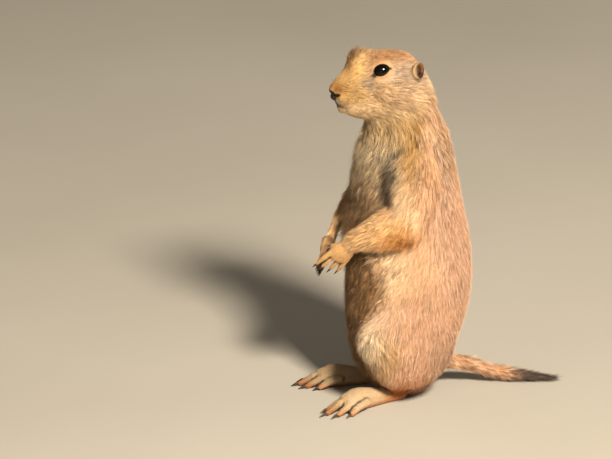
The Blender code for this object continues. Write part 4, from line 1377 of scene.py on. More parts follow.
@dataclass
class Growth:
    """How the coat grows at each vertex of the skin.

    Attributes:
        surface: The skin's surface, at first out at the tips of the coat.
        posture: Where body and head stand.
        furs: The coat of each node.
        depth: From the skin to the tips of the coat.
        length: Of the tufts.
        width: Of the tufts at their roots.
        density: Tufts on a square millimetre, before they are shared out.
        ruffle: Degrees by which the hair stands up besides.
        lift: Radians between hair and skin.
        lie: The way the hair points, as unit rows in the scene.
        grizzle: How many tips are pale or dark, from 0 to 1.
        streak: How much clumps differ in colour, from 0 to 1.
    """

    surface: Surface
    posture: Posture
    furs: dict[str, Fur]
    depth: Array = field(init=False)
    length: Array = field(init=False)
    width: Array = field(init=False)
    density: Array = field(init=False)
    ruffle: Array = field(init=False)
    lift: Array = field(init=False)
    lie: Array = field(init=False)
    grizzle: Array = field(init=False)
    streak: Array = field(init=False)

    MUZZLE_END = Oval((0.0, -64.0, -27.0), (10.0, 12.0, 12.0))
    FORELOCK = Oval((0.0, -48.0, 5.0), (10.0, 8.5, 7.5))
    DARK_LOCK = Oval((0.0, -48.0, 4.0), (11.0, 8.0, 7.0))
    EAR_CUP = Oval((23.4, -2.1, -7.6), (3.0, 3.0, 5.2))
    KNEE = Oval((34.0, -46.0, 58.0), (18.0, 22.0, 26.0))
    ELBOW = Oval((40.0, -18.0, 136.0), (15.0, 20.0, 10.0))
    BIB = Oval((3.0, -46.0, 140.0), (13.0, 14.0, 15.0))
    THROAT = Oval((0.0, -20.0, 190.0), (60.0, 60.0, 34.0))
    FACE_SOURCE = (0.0, -80.0, -22.0)
    SKIN_FLOOR = 0.15
    STEEPNESS = (0.10, 0.75)
    EYE_GAP = 0.12
    SMOOTHING = {"depth": 14, "length": 14, "width": 14, "density": 4}
    COMBINGS = 34

    def build(self) -> None:
        """Fills in every field and sinks the surface under the coat."""
        for name, rounds in self.SMOOTHING.items():
            table = np.array([getattr(fur, name) for fur in self.furs.values()])
            setattr(self, name, self.surface.blurred(table[self.surface.labels], rounds))
        self.ruffle = np.zeros(len(self.surface.points))
        self._trim_head()
        self._trim_body()
        self._limit_depth()
        self._lie()
        rise = np.arcsin(np.clip(0.95 * self.depth / self.length, *self.STEEPNESS))
        self.lift = rise + np.radians(self.ruffle)
        self._sink()

    def _trim_head(self) -> None:
        """Short hair on the muzzle and round the eyes, more of it on the jowls."""
        head = self.posture.in_head(self.surface.points)
        share = self.surface.share(3, "head", "ear")
        mirrored = folded(head)
        ahead, up = -head[:, 1], head[:, 2]
        bare = self.MUZZLE_END.share(mirrored)
        eye = np.linalg.norm(mirrored - np.array(Eye.PLACE), axis=1)
        lids = smoothstep(15.0, 8.5, eye)
        short = np.maximum(smoothstep(30.0, 56.0, ahead) * 0.62, np.maximum(bare, 0.88 * lids))
        ear = self.surface.share(4, "ear")
        short = np.maximum(short, 0.55 * ear)
        jowl = smoothstep(-20.0, -34.0, up) * smoothstep(46.0, 26.0, ahead)
        jowl = share * np.maximum(jowl, smoothstep(12.0, -6.0, ahead))
        keep = 1.0 - share * short
        self.depth *= np.maximum(keep, 0.10) * (1.0 + 0.6 * jowl)
        self.length *= np.maximum(1.0 - 0.70 * share * short, 0.3) * (1.0 + 0.5 * jowl)
        self.width *= np.maximum(1.0 - 0.40 * share * short, 0.5)
        self.density *= 1.0 + 0.8 * share * short
        tuft = self.FORELOCK.share(head) * share
        self.length *= 1.0 + 1.4 * tuft
        self.width *= 1.0 + 1.9 * tuft
        self.depth += 2.6 * smoothstep(0.1, 0.8, tuft)
        self.ruffle += 30.0 * smoothstep(0.15, 0.8, tuft)
        for side in Side:
            open_eye = Eye(self.posture, side).openness(head)
            inside = smoothstep(1.12, 1.0, open_eye) * smoothstep(12.0, 9.5, eye)
            self.density *= 1.0 - inside
        self.density *= 1.0 - smoothstep(0.14, 0.32, Lips.bare(mirrored))
        lip = distance_to_line(mirrored, Lips.ROWS)
        self.density *= 1.0 - share * smoothstep(0.9, 0.3, lip)
        self.density *= 1.0 - ear * smoothstep(0.45, 0.7, self.EAR_CUP.share(mirrored))

    def _trim_body(self) -> None:
        """Looser hair on belly, chest, knees and elbows, none on the soles."""
        surface = self.surface
        body = self.posture.in_body(surface.points)
        mirrored = folded(body)
        normal = surface.normals()
        trunk = surface.share(6, "torso", "neck")
        front = trunk * smoothstep(0.10, 0.75, surface.blurred(-normal[:, 1], 8))
        arm = surface.share(12, "upper_arm")
        knee = self.KNEE.share(mirrored) * surface.share(8, "thigh", "shank")
        loose = np.clip(np.maximum(front, np.maximum(0.55 * arm, knee)), 0.0, 1.0)
        self.length *= 1.0 + 0.50 * loose
        self.width *= 1.0 + 0.15 * loose
        self.density *= 1.0 - 0.15 * loose
        self.depth *= 1.0 + 0.30 * front
        self.ruffle += 9.0 * front
        elbow = self.ELBOW.share(mirrored) * surface.share(4, "upper_arm", "forearm")
        self.length *= 1.0 + 0.55 * elbow
        self.ruffle += 9.0 * elbow
        bib = self.BIB.share(body) * trunk
        self.length *= 1.0 + 0.7 * bib
        self.ruffle += 24.0 * bib
        sole = smoothstep(-0.35, -0.75, normal[:, 2]) * smoothstep(5.0, 2.0, body[:, 2])
        self.density *= 1.0 - sole
        back = trunk * smoothstep(0.3, -0.3, -normal[:, 1])
        thigh = surface.share(10, "thigh")
        tail = surface.share(4, "tail")
        self.ruffle += 6.0 * tail
        grizzle = np.clip(np.maximum(back, 0.8 * thigh) * (1.0 - loose), 0.0, 1.0)
        self.grizzle = np.maximum(grizzle, tail)
        streaks = (
            loose,
            self.THROAT.share(mirrored),
            0.8 * surface.share(8, "forearm"),
            1.4 * self.DARK_LOCK.share(self.posture.in_head(surface.points)),
            0.62 * surface.share(4, "head"),
            0.5 * tail,
        )
        self.streak = np.clip(np.max(streaks, axis=0), 0.0, 1.0)

    def _limit_depth(self) -> None:
        """Keeps the skin from sinking too far into thin parts."""
        far, inside, reach, share = 50.0, 0.02, 0.05, 0.27
        tree = BVHTree.FromPolygons(self.surface.points.tolist(), self.surface.faces.tolist())
        normal = self.surface.normals()
        thick = np.empty(len(normal))
        starts = (self.surface.points - normal * inside * MM).tolist()
        for k, (start, way) in enumerate(zip(starts, (-normal).tolist())):
            distance = tree.ray_cast(start, way, reach)[3]
            thick[k] = far if distance is None else distance / MM
        thick = self.surface.blurred(thick, 3)
        self.depth = np.minimum(self.depth, share * thick)
        self.depth = self.surface.blurred(self.depth, 6)

    def _lie(self) -> None:
        """The way the hair points, along the skin."""
        surface = self.surface
        table = np.array([fur.lie for fur in self.furs.values()])
        way = table[surface.labels]
        body = self.posture.in_body(surface.points)
        head = self.posture.in_head(surface.points)
        normal = surface.normals()
        face = unit(head - np.array(self.FACE_SOURCE))
        face[:, 2] -= 0.16 * smoothstep(-14.0, -32.0, head[:, 2])
        face = unit(face) @ self.posture.turn().T
        is_head = surface.of("head") > 0.5
        way[is_head] = face[is_head]
        forward = smoothstep(-0.7, 0.5, -normal[:, 1]) * smoothstep(212.0, 170.0, body[:, 2])
        way[:, 1] -= surface.of("torso", "neck") * (0.75 * forward)
        for side in Side:
            fore = surface.of("forearm_" + side.label)
            hang = fore * smoothstep(-44.0, -16.0, body[:, 1])
            way = mixed(way, np.array((0.0, -0.25, -1.0)), 0.75 * hang)
        way = unit(way - (way * normal).sum(axis=1)[:, None] * normal)
        for _ in range(self.COMBINGS):
            way = 0.4 * way + 0.6 * surface.averaged(way)
            way = unit(way - (way * normal).sum(axis=1)[:, None] * normal)
        self.lie = way

    def _sink(self) -> None:
        """Moves the surface in by the coat's depth, clear of eyes and floor."""
        surface = self.surface
        surface.points -= surface.blurred(surface.normals(), 2) * (self.depth * MM)[:, None]
        surface.relax(np.where(self.depth > 1.6, 3.0, 0.0))
        head = self.posture.in_head(surface.points)
        for side in Side:
            eye = Eye(self.posture, side)
            gap = head - eye.centre()
            distance = np.linalg.norm(gap, axis=1)
            clear = eye.radius + self.EYE_GAP
            push = np.where(distance < clear, clear / np.maximum(distance, 1e-6), 1.0)
            inner = distance > 0.5 * eye.radius
            pushed = eye.centre() + gap * push[:, None]
            head = np.where((inner & (push > 1.0))[:, None], pushed, head)
        surface.points = self.posture.from_head(head)
        surface.points[:, 2] = np.maximum(surface.points[:, 2], self.SKIN_FLOOR * MM)


@dataclass(frozen=True)
class Tuft:
    """The form of one kind of tuft: three sides and a point.

    Attributes:
        name: Of the kind.
        count: How many tufts of it there are.
        piece: The most that one piece of the coat holds.
        bends: Where along it the sides bend, if they do.
        sunk: How far its root lies under the skin.
        thick: Its thickness, as a share of its width.
        waist: Its width at the bend, as a share of that at the root.
        patch: Size of its patch in the map for baking.
    """

    name: str
    count: int
    piece: int
    bends: tuple[float, ...] = ()
    sunk: float = 0.3
    thick: float = 0.26
    waist: float = 0.85
    patch: float = 0.003

    SIDES = ((0, 1), (1, 2), (2, 0))

    def along(self) -> Array:
        """How far along the tuft each of its vertices is."""
        return np.append(np.repeat((0.0, *self.bends), 3), 1.0)

    def across(self) -> Array:
        """How far across the tuft each of its vertices is."""
        return np.append(np.tile((0.0, 1.0, 0.5), 1 + len(self.bends)), 0.5)

    def faces(self) -> Array:
        """Its triangles.

        Returns:
            The base first, then the sides from the root up.
        """
        rows = [(0, 2, 1)]
        top = 3 * len(self.bends)
        for low in range(0, top, 3):
            for a, b in self.SIDES:
                rows += [(low + a, low + b, low + b + 3), (low + a, low + b + 3, low + a + 3)]
        rows += [(top + a, top + b, top + 3) for a, b in self.SIDES]
        return np.array(rows)


@dataclass
class Coat:
    """All tufts, in pieces small enough to export.

    Attributes:
        surface: The skin under them.
        growth: How they grow.
        colours: Markings at the skin's vertices.
        tuft: The kind of tuft.
        seed: Starts every random draw.
        clump: Tufts in a clump.
        stretch: How much longer than wide a clump is; 0 is round and 1 endless.
        gather: How far tips move to the tip of their clump's leader.
        lowest: How high above the floor the lowest vertex lies.
    """

    surface: Surface
    growth: Growth
    colours: Array
    tuft: Tuft
    seed: int = 11
    clump: int = 6
    stretch: float = 0.68
    gather: float = 0.26
    lowest: float = 0.12

    GROUPS = (
        ("head", ("head", "ear"), "sandy_coat"),
        ("trunk", ("neck", "torso"), "sandy_coat"),
        ("arms", ("upper_arm", "forearm", "hand"), "pale_coat"),
        ("legs", ("thigh", "shank", "foot"), "sandy_coat"),
        ("tail", ("tail",), "dark_tail"),
    )
    BENT = Tuft("long", 62_000, 19_800, bends=(0.48,))
    STRAIGHT = Tuft("short", 215_000, 49_000)
    LONG_HAIR = (6.8, 9.2)
    LOOSE_TIPS = (0.006, 0.003)
    SWING = (0.15, 0.08)
    RISE = (0.20, 0.14)
    FROST = (0.98, 0.76, 0.60)

    def build(self) -> None:
        """Grows every tuft and writes them out in pieces, which ride on the body."""
        draw = np.random.default_rng(self.seed)
        face, weight = self._roots(draw)
        corners = self.surface.faces[face]
        owner = self.surface.labels[corners[:, 0]]
        points, tint = self._shapes(draw, corners, weight)
        roots = self._interpolated(self.surface.points, corners, weight)
        material = FurFinish("coat").material()
        for group, starts, slot in self.GROUPS:
            numbers = [k for k, name in enumerate(self.surface.names) if name.startswith(starts)]
            chosen = np.flatnonzero(np.isin(owner, numbers))
            if not len(chosen):
                continue
            along = roots[chosen] @ self._long_way(roots[chosen])
            order = chosen[np.argsort(along, kind="stable")]
            parts = math.ceil(len(order) / self.tuft.piece)
            for k, part in enumerate(np.array_split(order, parts), start=1):
                name = f"coat_{self.tuft.name}_{group}_{k}"
                obj = self._piece(name, points[part], tint[part], roots[part], owner[part])
                obj.data.materials.append(material)
                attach(obj, "root")
                LOG.info("%s: %d tufts", name, len(part))

    def _roots(self, draw: np.random.Generator) -> tuple[Array, Array]:
        """Where the tufts stand.

        Args:
            draw: Random draws.

        Returns:
            The face of each root and its place in it.
        """
        count = self.tuft.count
        long = smoothstep(*self.LONG_HAIR, self.growth.length)
        density = self.growth.density * (long if self.tuft.bends else 1.0 - 0.85 * long)
        share = np.cumsum(self.surface.areas() * density[self.surface.faces].mean(axis=1))
        marks = (np.arange(count) + draw.random(count)) / count * share[-1]
        face = np.minimum(np.searchsorted(share, marks), len(share) - 1)
        first, second = draw.random((2, count))
        over = first + second > 1.0
        first = np.where(over, 1.0 - first, first)
        second = np.where(over, 1.0 - second, second)
        return face, np.column_stack([1.0 - first - second, first, second])

    @staticmethod
    def _interpolated(values: Array, corners: Array, weight: Array) -> Array:
        """Vertex values at the roots.

        Args:
            values: One number or row for each vertex.
            corners: The three vertices of each root's face.
            weight: The shares of the three.

        Returns:
            One number or row for each root.
        """
        picked = values[corners]
        if picked.ndim == 2:
            return (picked * weight).sum(axis=1)
        return (picked * weight[:, :, None]).sum(axis=1)

    @staticmethod
    def _varied(
        draw: np.random.Generator, clump: Array, shared: float | Array, own: float
    ) -> Array:
        """Random changes, in part shared by the tufts of a clump.

        Args:
            draw: Random draws.
            clump: Leader of each tuft's clump.
            shared: Size of the part that a clump shares.
            own: Size of each tuft's own part.

        Returns:
            One change for each tuft.
        """
        count = len(clump)
        return shared * draw.normal(size=count)[clump] + own * draw.normal(size=count)

    def _shapes(
        self, draw: np.random.Generator, corners: Array, weight: Array
    ) -> tuple[Array, Array]:
        """Vertices and colours of every tuft.

        Args:
            draw: Random draws.
            corners: The three vertices of each root's face.
            weight: The shares of the three.

        Returns:
            Two arrays with a row of vertices for each tuft.
        """
        growth = self.growth
        count = len(corners)

        def at(values: Array) -> Array:
            """Vertex values at the roots."""
            return self._interpolated(values, corners, weight)

        root = at(self.surface.points)
        normal = unit(at(self.surface.normals()))
        lie = at(growth.lie)
        lie = unit(lie - (lie * normal).sum(axis=1)[:, None] * normal)
        length = at(growth.length) * np.exp(0.15 * draw.normal(size=count)) * MM
        width = at(growth.width) * np.exp(0.14 * draw.normal(size=count)) * MM
        clump = self._clumps(root, self.surface.labels[corners[:, 0]])
        swing = self._varied(draw, clump, *self.SWING)
        rough = 1.0 + 2.0 * np.clip(at(growth.ruffle) / 30.0, 0.0, 1.0)
        rise = at(growth.lift) * np.exp(self._varied(draw, clump, *self.RISE))
        across = np.cross(normal, lie)
        way = turned(lie, across, swing * rough)
        across = np.cross(normal, way)
        tip = root + turned(way, normal, 0.92 * rise) * length[:, None]
        gap = tip[clump] - tip
        reach = np.linalg.norm(gap, axis=1)
        tip += gap * (self.gather * smoothstep(*self.LOOSE_TIPS, reach))[:, None]
        levels = [(root - normal * self.tuft.sunk * MM, 1.0)]
        for bend in self.tuft.bends:
            middle = root + turned(way, normal, 1.25 * rise) * (length * bend)[:, None]
            levels.append((middle, self.tuft.waist))
        points = np.empty((count, len(self.tuft.along()), 3))
        for k, (place, scale) in enumerate(levels):
            half = across * (0.5 * scale * width)[:, None]
            points[:, 3 * k] = place - half
            points[:, 3 * k + 1] = place + half
            points[:, 3 * k + 2] = place + normal * (self.tuft.thick * scale * width)[:, None]
        points[:, -1] = tip
        points[:, :, 2] = np.maximum(points[:, :, 2], self.lowest * MM)
        return points, self._tints(draw, at, clump)

    def _clumps(self, root: Array, owner: Array) -> Array:
        """The tuft that leads each tuft's clump, which is long in the hair's direction.

        Args:
            root: Where the tufts stand.
            owner: Node number of each.

        Returns:
            The number of the leader of each tuft.
        """
        ways = unit(np.array([fur.lie for fur in self.growth.furs.values()]))[owner]
        place = root - self.stretch * (root * ways).sum(axis=1)[:, None] * ways
        draw = np.random.default_rng(self.seed + 1)
        leaders = draw.permutation(len(root))[: len(root) // self.clump]
        tree = KDTree(len(leaders))
        for leader in leaders.tolist():
            tree.insert(place[leader], leader)
        tree.balance()
        return np.array([tree.find(row)[1] for row in place.tolist()])

    def _tints(
        self, draw: np.random.Generator, at: Callable[[Array], Array], clump: Array
    ) -> Array:
        """Colours of every tuft: darker at the root, pale or dark at the tip.

        Args:
            draw: Random draws.
            at: Takes vertex values to the roots.
            clump: Leader of each tuft's clump.

        Returns:
            A row of vertex colours for each tuft.
        """
        count = len(clump)
        colour = np.clip(at(self.colours), 0.0, 1.0)
        grizzle = np.clip(at(self.growth.grizzle), 0.0, 1.0)
        streak = np.clip(at(self.growth.streak), 0.0, 1.0)
        light = self._varied(draw, clump, 0.09 + 0.19 * streak, 0.09)
        colour = colour * np.exp(light)[:, None]
        kind = draw.random(count)[clump] + 0.05 * draw.normal(size=count)
        dark = (kind < 0.06 + 0.14 * grizzle + 0.24 * streak).astype(float)
        pale = (kind > 0.86 - 0.22 * grizzle - 0.10 * streak).astype(float)
        black = colour.mean(axis=1) < 0.12
        bright = 0.45 * colour + 0.55 * np.array(self.FROST)
        tip = colour * 1.12
        tip = mixed(tip, colour * 0.30, (0.55 + 0.35 * streak) * dark)
        tip = mixed(tip, bright, pale * np.where(black, 0.2, 0.35 + 0.50 * grizzle))
        rows = np.empty((count, len(self.tuft.along()), 3))
        for k, share in enumerate(self.tuft.along()):
            if share == 0.0:
                rows[:, k] = colour * (UNDERCOAT - 0.18 * streak)[:, None]
            elif share < 1.0:
                rows[:, k] = 0.6 * colour + 0.4 * tip
            else:
                rows[:, k] = tip
        return np.clip(rows, 0.0, 1.0)

    @staticmethod
    def _long_way(points: Array) -> Array:
        """The direction in which points spread most.

        Args:
            points: Rows of three numbers.

        Returns:
            A unit row.
        """
        spread = points - points.mean(axis=0)
        return np.linalg.eigh(spread.T @ spread)[1][:, 2]

    def _piece(
        self, name: str, points: Array, tint: Array, roots: Array, owner: Array
    ) -> bpy.types.Object:
        """One piece of the coat.

        Args:
            name: Its name.
            points: Vertices of its tufts.
            tint: Their colours.
            roots: Where the tufts stand.
            owner: Node number of each.

        Returns:
            The object.
        """
        faces = self.tuft.faces()
        start = np.arange(len(points))[:, None, None] * points.shape[1]
        uv = self._unwrapped(roots, owner)
        local = np.column_stack([self.tuft.across(), self.tuft.along()]) - 0.5
        corners = uv[:, None, :] + local[faces.ravel()][None] * self.tuft.patch
        return write_mesh(
            name,
            points.reshape(-1, 3),
            (faces[None] + start).reshape(-1, 3),
            tint.reshape(-1, 3),
            np.clip(corners, 0.0, 1.0).reshape(-1, 2),
        )

    def _unwrapped(self, roots: Array, owner: Array) -> Array:
        """Places of the roots on an unwrap of the skin, a strip for each node.

        Each strip is the node's skin, cut along its length and rolled out flat.

        Args:
            roots: Where the tufts stand.
            owner: Node number of each.

        Returns:
            Two numbers between 0 and 1 for each root.
        """
        uv = np.zeros((len(roots), 2))
        margin, most = 0.01, 0.98
        start = 0.0
        for number in np.unique(owner):
            chosen = owner == number
            part = roots[chosen]
            wide = chosen.mean()
            centre = part - part.mean(axis=0)
            axes = np.linalg.eigh(centre.T @ centre)[1] if len(part) > 3 else np.eye(3)
            local = centre @ axes
            angle = np.arctan2(local[:, 1], local[:, 0]) / TURN + 0.5
            along = local[:, 2]
            along = (along - along.min()) / max(float(np.ptp(along)), 1e-6)
            uv[chosen, 0] = start + wide * (margin + most * angle)
            uv[chosen, 1] = margin + most * along
            start += wide
        return uv


# ---------------------------------------------------------------- whiskers


@dataclass
class Whiskers:
    """Long stiff hairs of the muzzle, brows and cheeks.

    Attributes:
        posture: Where the head stands.
        surface: The skin that they grow from.
        wide: Radius at the root.
        taper: How much thinner the tip is, as a share of that.
        sunk: How far the root lies under the skin.
        missing: Share of the whisker roots that carry no hair.
        brow_length: Length of the hairs over the eyes and on the cheeks.
        seed: Starts the random draws.
    """

    posture: Posture
    surface: Surface
    wide: float = 0.14
    taper: float = 0.88
    sunk: float = 0.5
    missing: float = 0.25
    brow_length: float = 13.0
    seed: int = 5

    SAG = (0.0, 0.24, -0.16)
    TINT = (0.055, 0.035, 0.025)
    BROWS = ((11.0, -36.0, 3.0), (12.5, -33.0, 4.0), (21.0, -20.0, -18.0))

    def build(self) -> None:
        """Makes all whiskers as one piece, which rides on the body."""
        draw = np.random.default_rng(self.seed)
        tree = BVHTree.FromPolygons(self.surface.points.tolist(), self.surface.faces.tolist())
        points, faces = [], []
        count = 0
        for root, way, length in self._hairs(draw):
            world = Vector(self.posture.from_head(root))
            found = tree.find_nearest(world)[0]
            local = self.posture.in_head(np.array([found]))[0]
            steps = np.linspace(0.0, 1.0, 9)[:, None]
            sag = np.array(self.SAG) * length
            line = local + steps * way * length + steps**2 * sag - way * self.sunk
            hair, triangles = tube(line, self.wide * (1.0 - self.taper * steps[:, 0]), 4, False)
            hair = self.posture.from_head(hair)
            points.append(hair)
            faces.append(outward(hair, triangles) + count)
            count += len(hair)
        points = np.vstack(points)
        tint = np.tile(self.TINT, (len(points), 1))
        obj = write_mesh("whiskers", points, np.vstack(faces), tint)
        obj.data.materials.append(FurFinish("whisker", roughness=0.4).material())
        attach(obj, "root")

    def _hairs(self, draw: np.random.Generator) -> list[tuple[Array, Array, float]]:
        """Root, direction and length of each hair.

        Args:
            draw: Random draws.

        Returns:
            A list of them, in the head frame.
        """
        hairs = []
        for side in Side:
            mirror = np.array((side.value, 1.0, 1.0))
            for spot in Lips.follicles():
                if draw.random() < self.missing:
                    continue
                back = (-spot[1] - 44.0) / 12.0
                upward = 0.34 - 0.075 * (-spot[2] - 19.0)
                way = unit(np.array((0.55, -0.85 * back - 0.10, upward)))
                way = unit(way + 0.10 * draw.normal(size=3))
                length = (17.0 + 8.0 * (1.0 - back)) * draw.uniform(0.75, 1.15)
                hairs.append((np.array(spot) * mirror, way * mirror, length))
            for spot in self.BROWS:
                way = unit(np.array((0.6, -0.25, 0.75)) + 0.12 * draw.normal(size=3))
                hairs.append((np.array(spot) * mirror, way * mirror, self.brow_length))
        return hairs


# ---------------------------------------------------------------- finishes


class Recipe:
    """A material in the making.

    Attributes:
        material: The material.
        tree: Its nodes and links.
        shader: Its shader.
    """

    def __init__(self, name: str, roughness: float) -> None:
        """Starts the material.

        Args:
            name: Its name.
            roughness: Of its surface.
        """
        self.material = bpy.data.materials.new(name)
        self.material.use_nodes = True
        self.tree = self.material.node_tree
        self.shader = self.tree.nodes["Principled BSDF"]
        self.set({"Roughness": roughness})

    def set(self, values: dict[str, float | tuple[float, ...]]) -> None:
        """Sets sockets of the shader.

        Args:
            values: Values by the name of the socket.
        """
        for socket, value in values.items():
            self.shader.inputs[socket].default_value = value

    def node(self, kind: str, values: dict[str, float] | None = None) -> bpy.types.Node:
        """Adds a node.

        Args:
            kind: Its type.
            values: Values by the name of the socket, if any are set.

        Returns:
            The node.
        """
        node = self.tree.nodes.new(kind)
        for socket, value in (values or {}).items():
            node.inputs[socket].default_value = value
        return node

    def noise(self, scale: float, detail: float) -> bpy.types.NodeSocket:
        """Adds fine noise in the object's own space.

        Args:
            scale: In waves to the metre.
            detail: How many finer waves lie over it.

        Returns:
            The noise's output.
        """
        place = self.node("ShaderNodeTexCoord")
        noise = self.node("ShaderNodeTexNoise", {"Scale": scale, "Detail": detail})
        self.tree.links.new(place.outputs["Object"], noise.inputs["Vector"])
        return noise.outputs["Fac"]

    def bump(self, height: bpy.types.NodeSocket, strength: float, distance: float) -> None:
        """Adds bump to the shader.

        Args:
            height: The output that drives it.
            strength: Of the bump.
            distance: Its depth in metres.
        """
        bump = self.node("ShaderNodeBump", {"Strength": strength, "Distance": distance})
        self.tree.links.new(height, bump.inputs["Height"])
        self.tree.links.new(bump.outputs["Normal"], self.shader.inputs["Normal"])


@dataclass(frozen=True)
class Finish:
    """A material that takes its colours from the tint of each vertex.

    Attributes:
        name: Of the material.
        roughness: Of its surface.
        grain: Size of the fine variation, in waves to the metre.
        detail: How many finer waves lie over it.
        depth: Strength of that variation.
    """

    name: str
    roughness: float = 0.62
    grain: float = 900.0
    detail: float = 3.0
    depth: float = 0.10

    def material(self) -> bpy.types.Material:
        """Makes the material.

        Returns:
            The material.
        """
        recipe = Recipe(self.name, self.roughness)
        links = recipe.tree.links
        colour = recipe.node("ShaderNodeAttribute")
        colour.attribute_name = TINT
        span = {"To Min": 1.0 - self.depth, "To Max": 1.0 + self.depth}
        change = recipe.node("ShaderNodeMapRange", span)
        links.new(recipe.noise(self.grain, self.detail), change.inputs["Value"])
        hue = recipe.node("ShaderNodeHueSaturation")
        links.new(change.outputs["Result"], hue.inputs["Value"])
        links.new(colour.outputs["Color"], hue.inputs["Color"])
        links.new(hue.outputs["Color"], recipe.shader.inputs["Base Color"])
        self._more(recipe)
        return recipe.material

    def _more(self, recipe: Recipe) -> None:
        """What a kind of finish adds.

        Args:
            recipe: The material in the making.
        """


@dataclass(frozen=True)
class FurFinish(Finish):
    """Hair: soft, with a faint sheen.

    Attributes:
        sheen: Strength of the sheen.
        sheen_roughness: Its roughness.
        sheen_tint: Its colour.
        specular: Strength of the gloss.
    """

    sheen: float = 0.25
    sheen_roughness: float = 0.5
    sheen_tint: Colour = (1.0, 0.86, 0.70)
    specular: float = 0.28

    def _more(self, recipe: Recipe) -> None:
        """Adds the sheen.

        Args:
            recipe: The material in the making.
        """
        recipe.set(
            {
                "Sheen Weight": self.sheen,
                "Sheen Roughness": self.sheen_roughness,
                "Sheen Tint": (*self.sheen_tint, 1.0),
                "Specular IOR Level": self.specular,
            }
        )


@dataclass(frozen=True)
class SkinFinish(Finish):
    """Skin under the coat, with the bump of flat short hair.

    Attributes:
        bump: Strength of the bump.
        bump_grain: Its size, in waves to the metre.
        bump_depth: Its depth in metres.
        specular: Strength of the gloss.
    """

    bump: float = 0.5
    bump_grain: float = 2600.0
    bump_depth: float = 0.0003
    specular: float = 0.3

    def _more(self, recipe: Recipe) -> None:
        """Adds the bump.

        Args:
            recipe: The material in the making.
        """
        recipe.bump(recipe.noise(self.bump_grain, self.detail), self.bump, self.bump_depth)
        recipe.set({"Specular IOR Level": self.specular})


@dataclass(frozen=True)
class Wet(Finish):
    """A dark moist surface, such as the eye or the edge of a lid.

    Attributes:
        coat: Strength of the clear film.
        coat_roughness: Its roughness.
        specular: Strength of the gloss under it.
    """

    coat: float = 1.0
    coat_roughness: float = 0.03
    specular: float = 0.22

    def _more(self, recipe: Recipe) -> None:
        """Adds the clear film.

        Args:
            recipe: The material in the making.
        """
        recipe.set(
            {
                "Coat Weight": self.coat,
                "Coat Roughness": self.coat_roughness,
                "Specular IOR Level": self.specular,
            }
        )


@dataclass(frozen=True)
class Horn:
    """Claws, nose pad and floor: two close colours in streaks, and pores.

    Attributes:
        name: Of the material.
        dark: The darker colour.
        light: The lighter colour.
        scale: Of the streaks, in waves to the metre.
        roughness: Of the surface.
        bump: Strength of the pores.
        detail: How many finer waves lie over the streaks.
        pore: Depth of the pores in metres.
        edges: Where in the streaks the two colours are reached.
    """

    name: str
    dark: Colour
    light: Colour
    scale: float
    roughness: float
    bump: float
    detail: float = 4.0
    pore: float = 0.0002
    edges: tuple[float, float] = (0.35, 0.68)

    def material(self) -> bpy.types.Material:
        """Makes the material.

        Returns:
            The material.
        """
        recipe = Recipe(self.name, self.roughness)
        noise = recipe.noise(self.scale, self.detail)
        ramp = recipe.node("ShaderNodeValToRGB")
        stops = zip(ramp.color_ramp.elements, self.edges, (self.dark, self.light))
        for element, position, colour in stops:
            element.position = position
            element.color = (*colour, 1.0)
        recipe.tree.links.new(noise, ramp.inputs["Fac"])
        recipe.tree.links.new(ramp.outputs["Color"], recipe.shader.inputs["Base Color"])
        recipe.bump(noise, self.bump, self.pore)
        return recipe.material


# ---------------------------------------------------------------- studio


@dataclass(frozen=True)
class Lamp:
    """A square soft light aimed at the animal's middle.

    Attributes:
        name: Its name.
        way: Direction from the animal to it.
        away: Its distance in metres.
        size: Its side in metres.
        power: In watts.
        colour: Of its light.
    """

    name: str
    way: Triple
    away: float
    size: float
    power: float
    colour: Colour

    AIM = Vector((0.0, 0.0, 0.13))

    def hang(self) -> None:
        """Puts the light in the scene."""
        data = bpy.data.lights.new(self.name, "AREA")
        data.size = self.size
        data.energy = self.power
        data.color = self.colour
        light = placed(self.name, data)
        direction = Vector(self.way).normalized()
        light.location = self.AIM + direction * self.away
        light.rotation_mode = "QUATERNION"
        light.rotation_quaternion = direction.to_track_quat("Z", "Y")


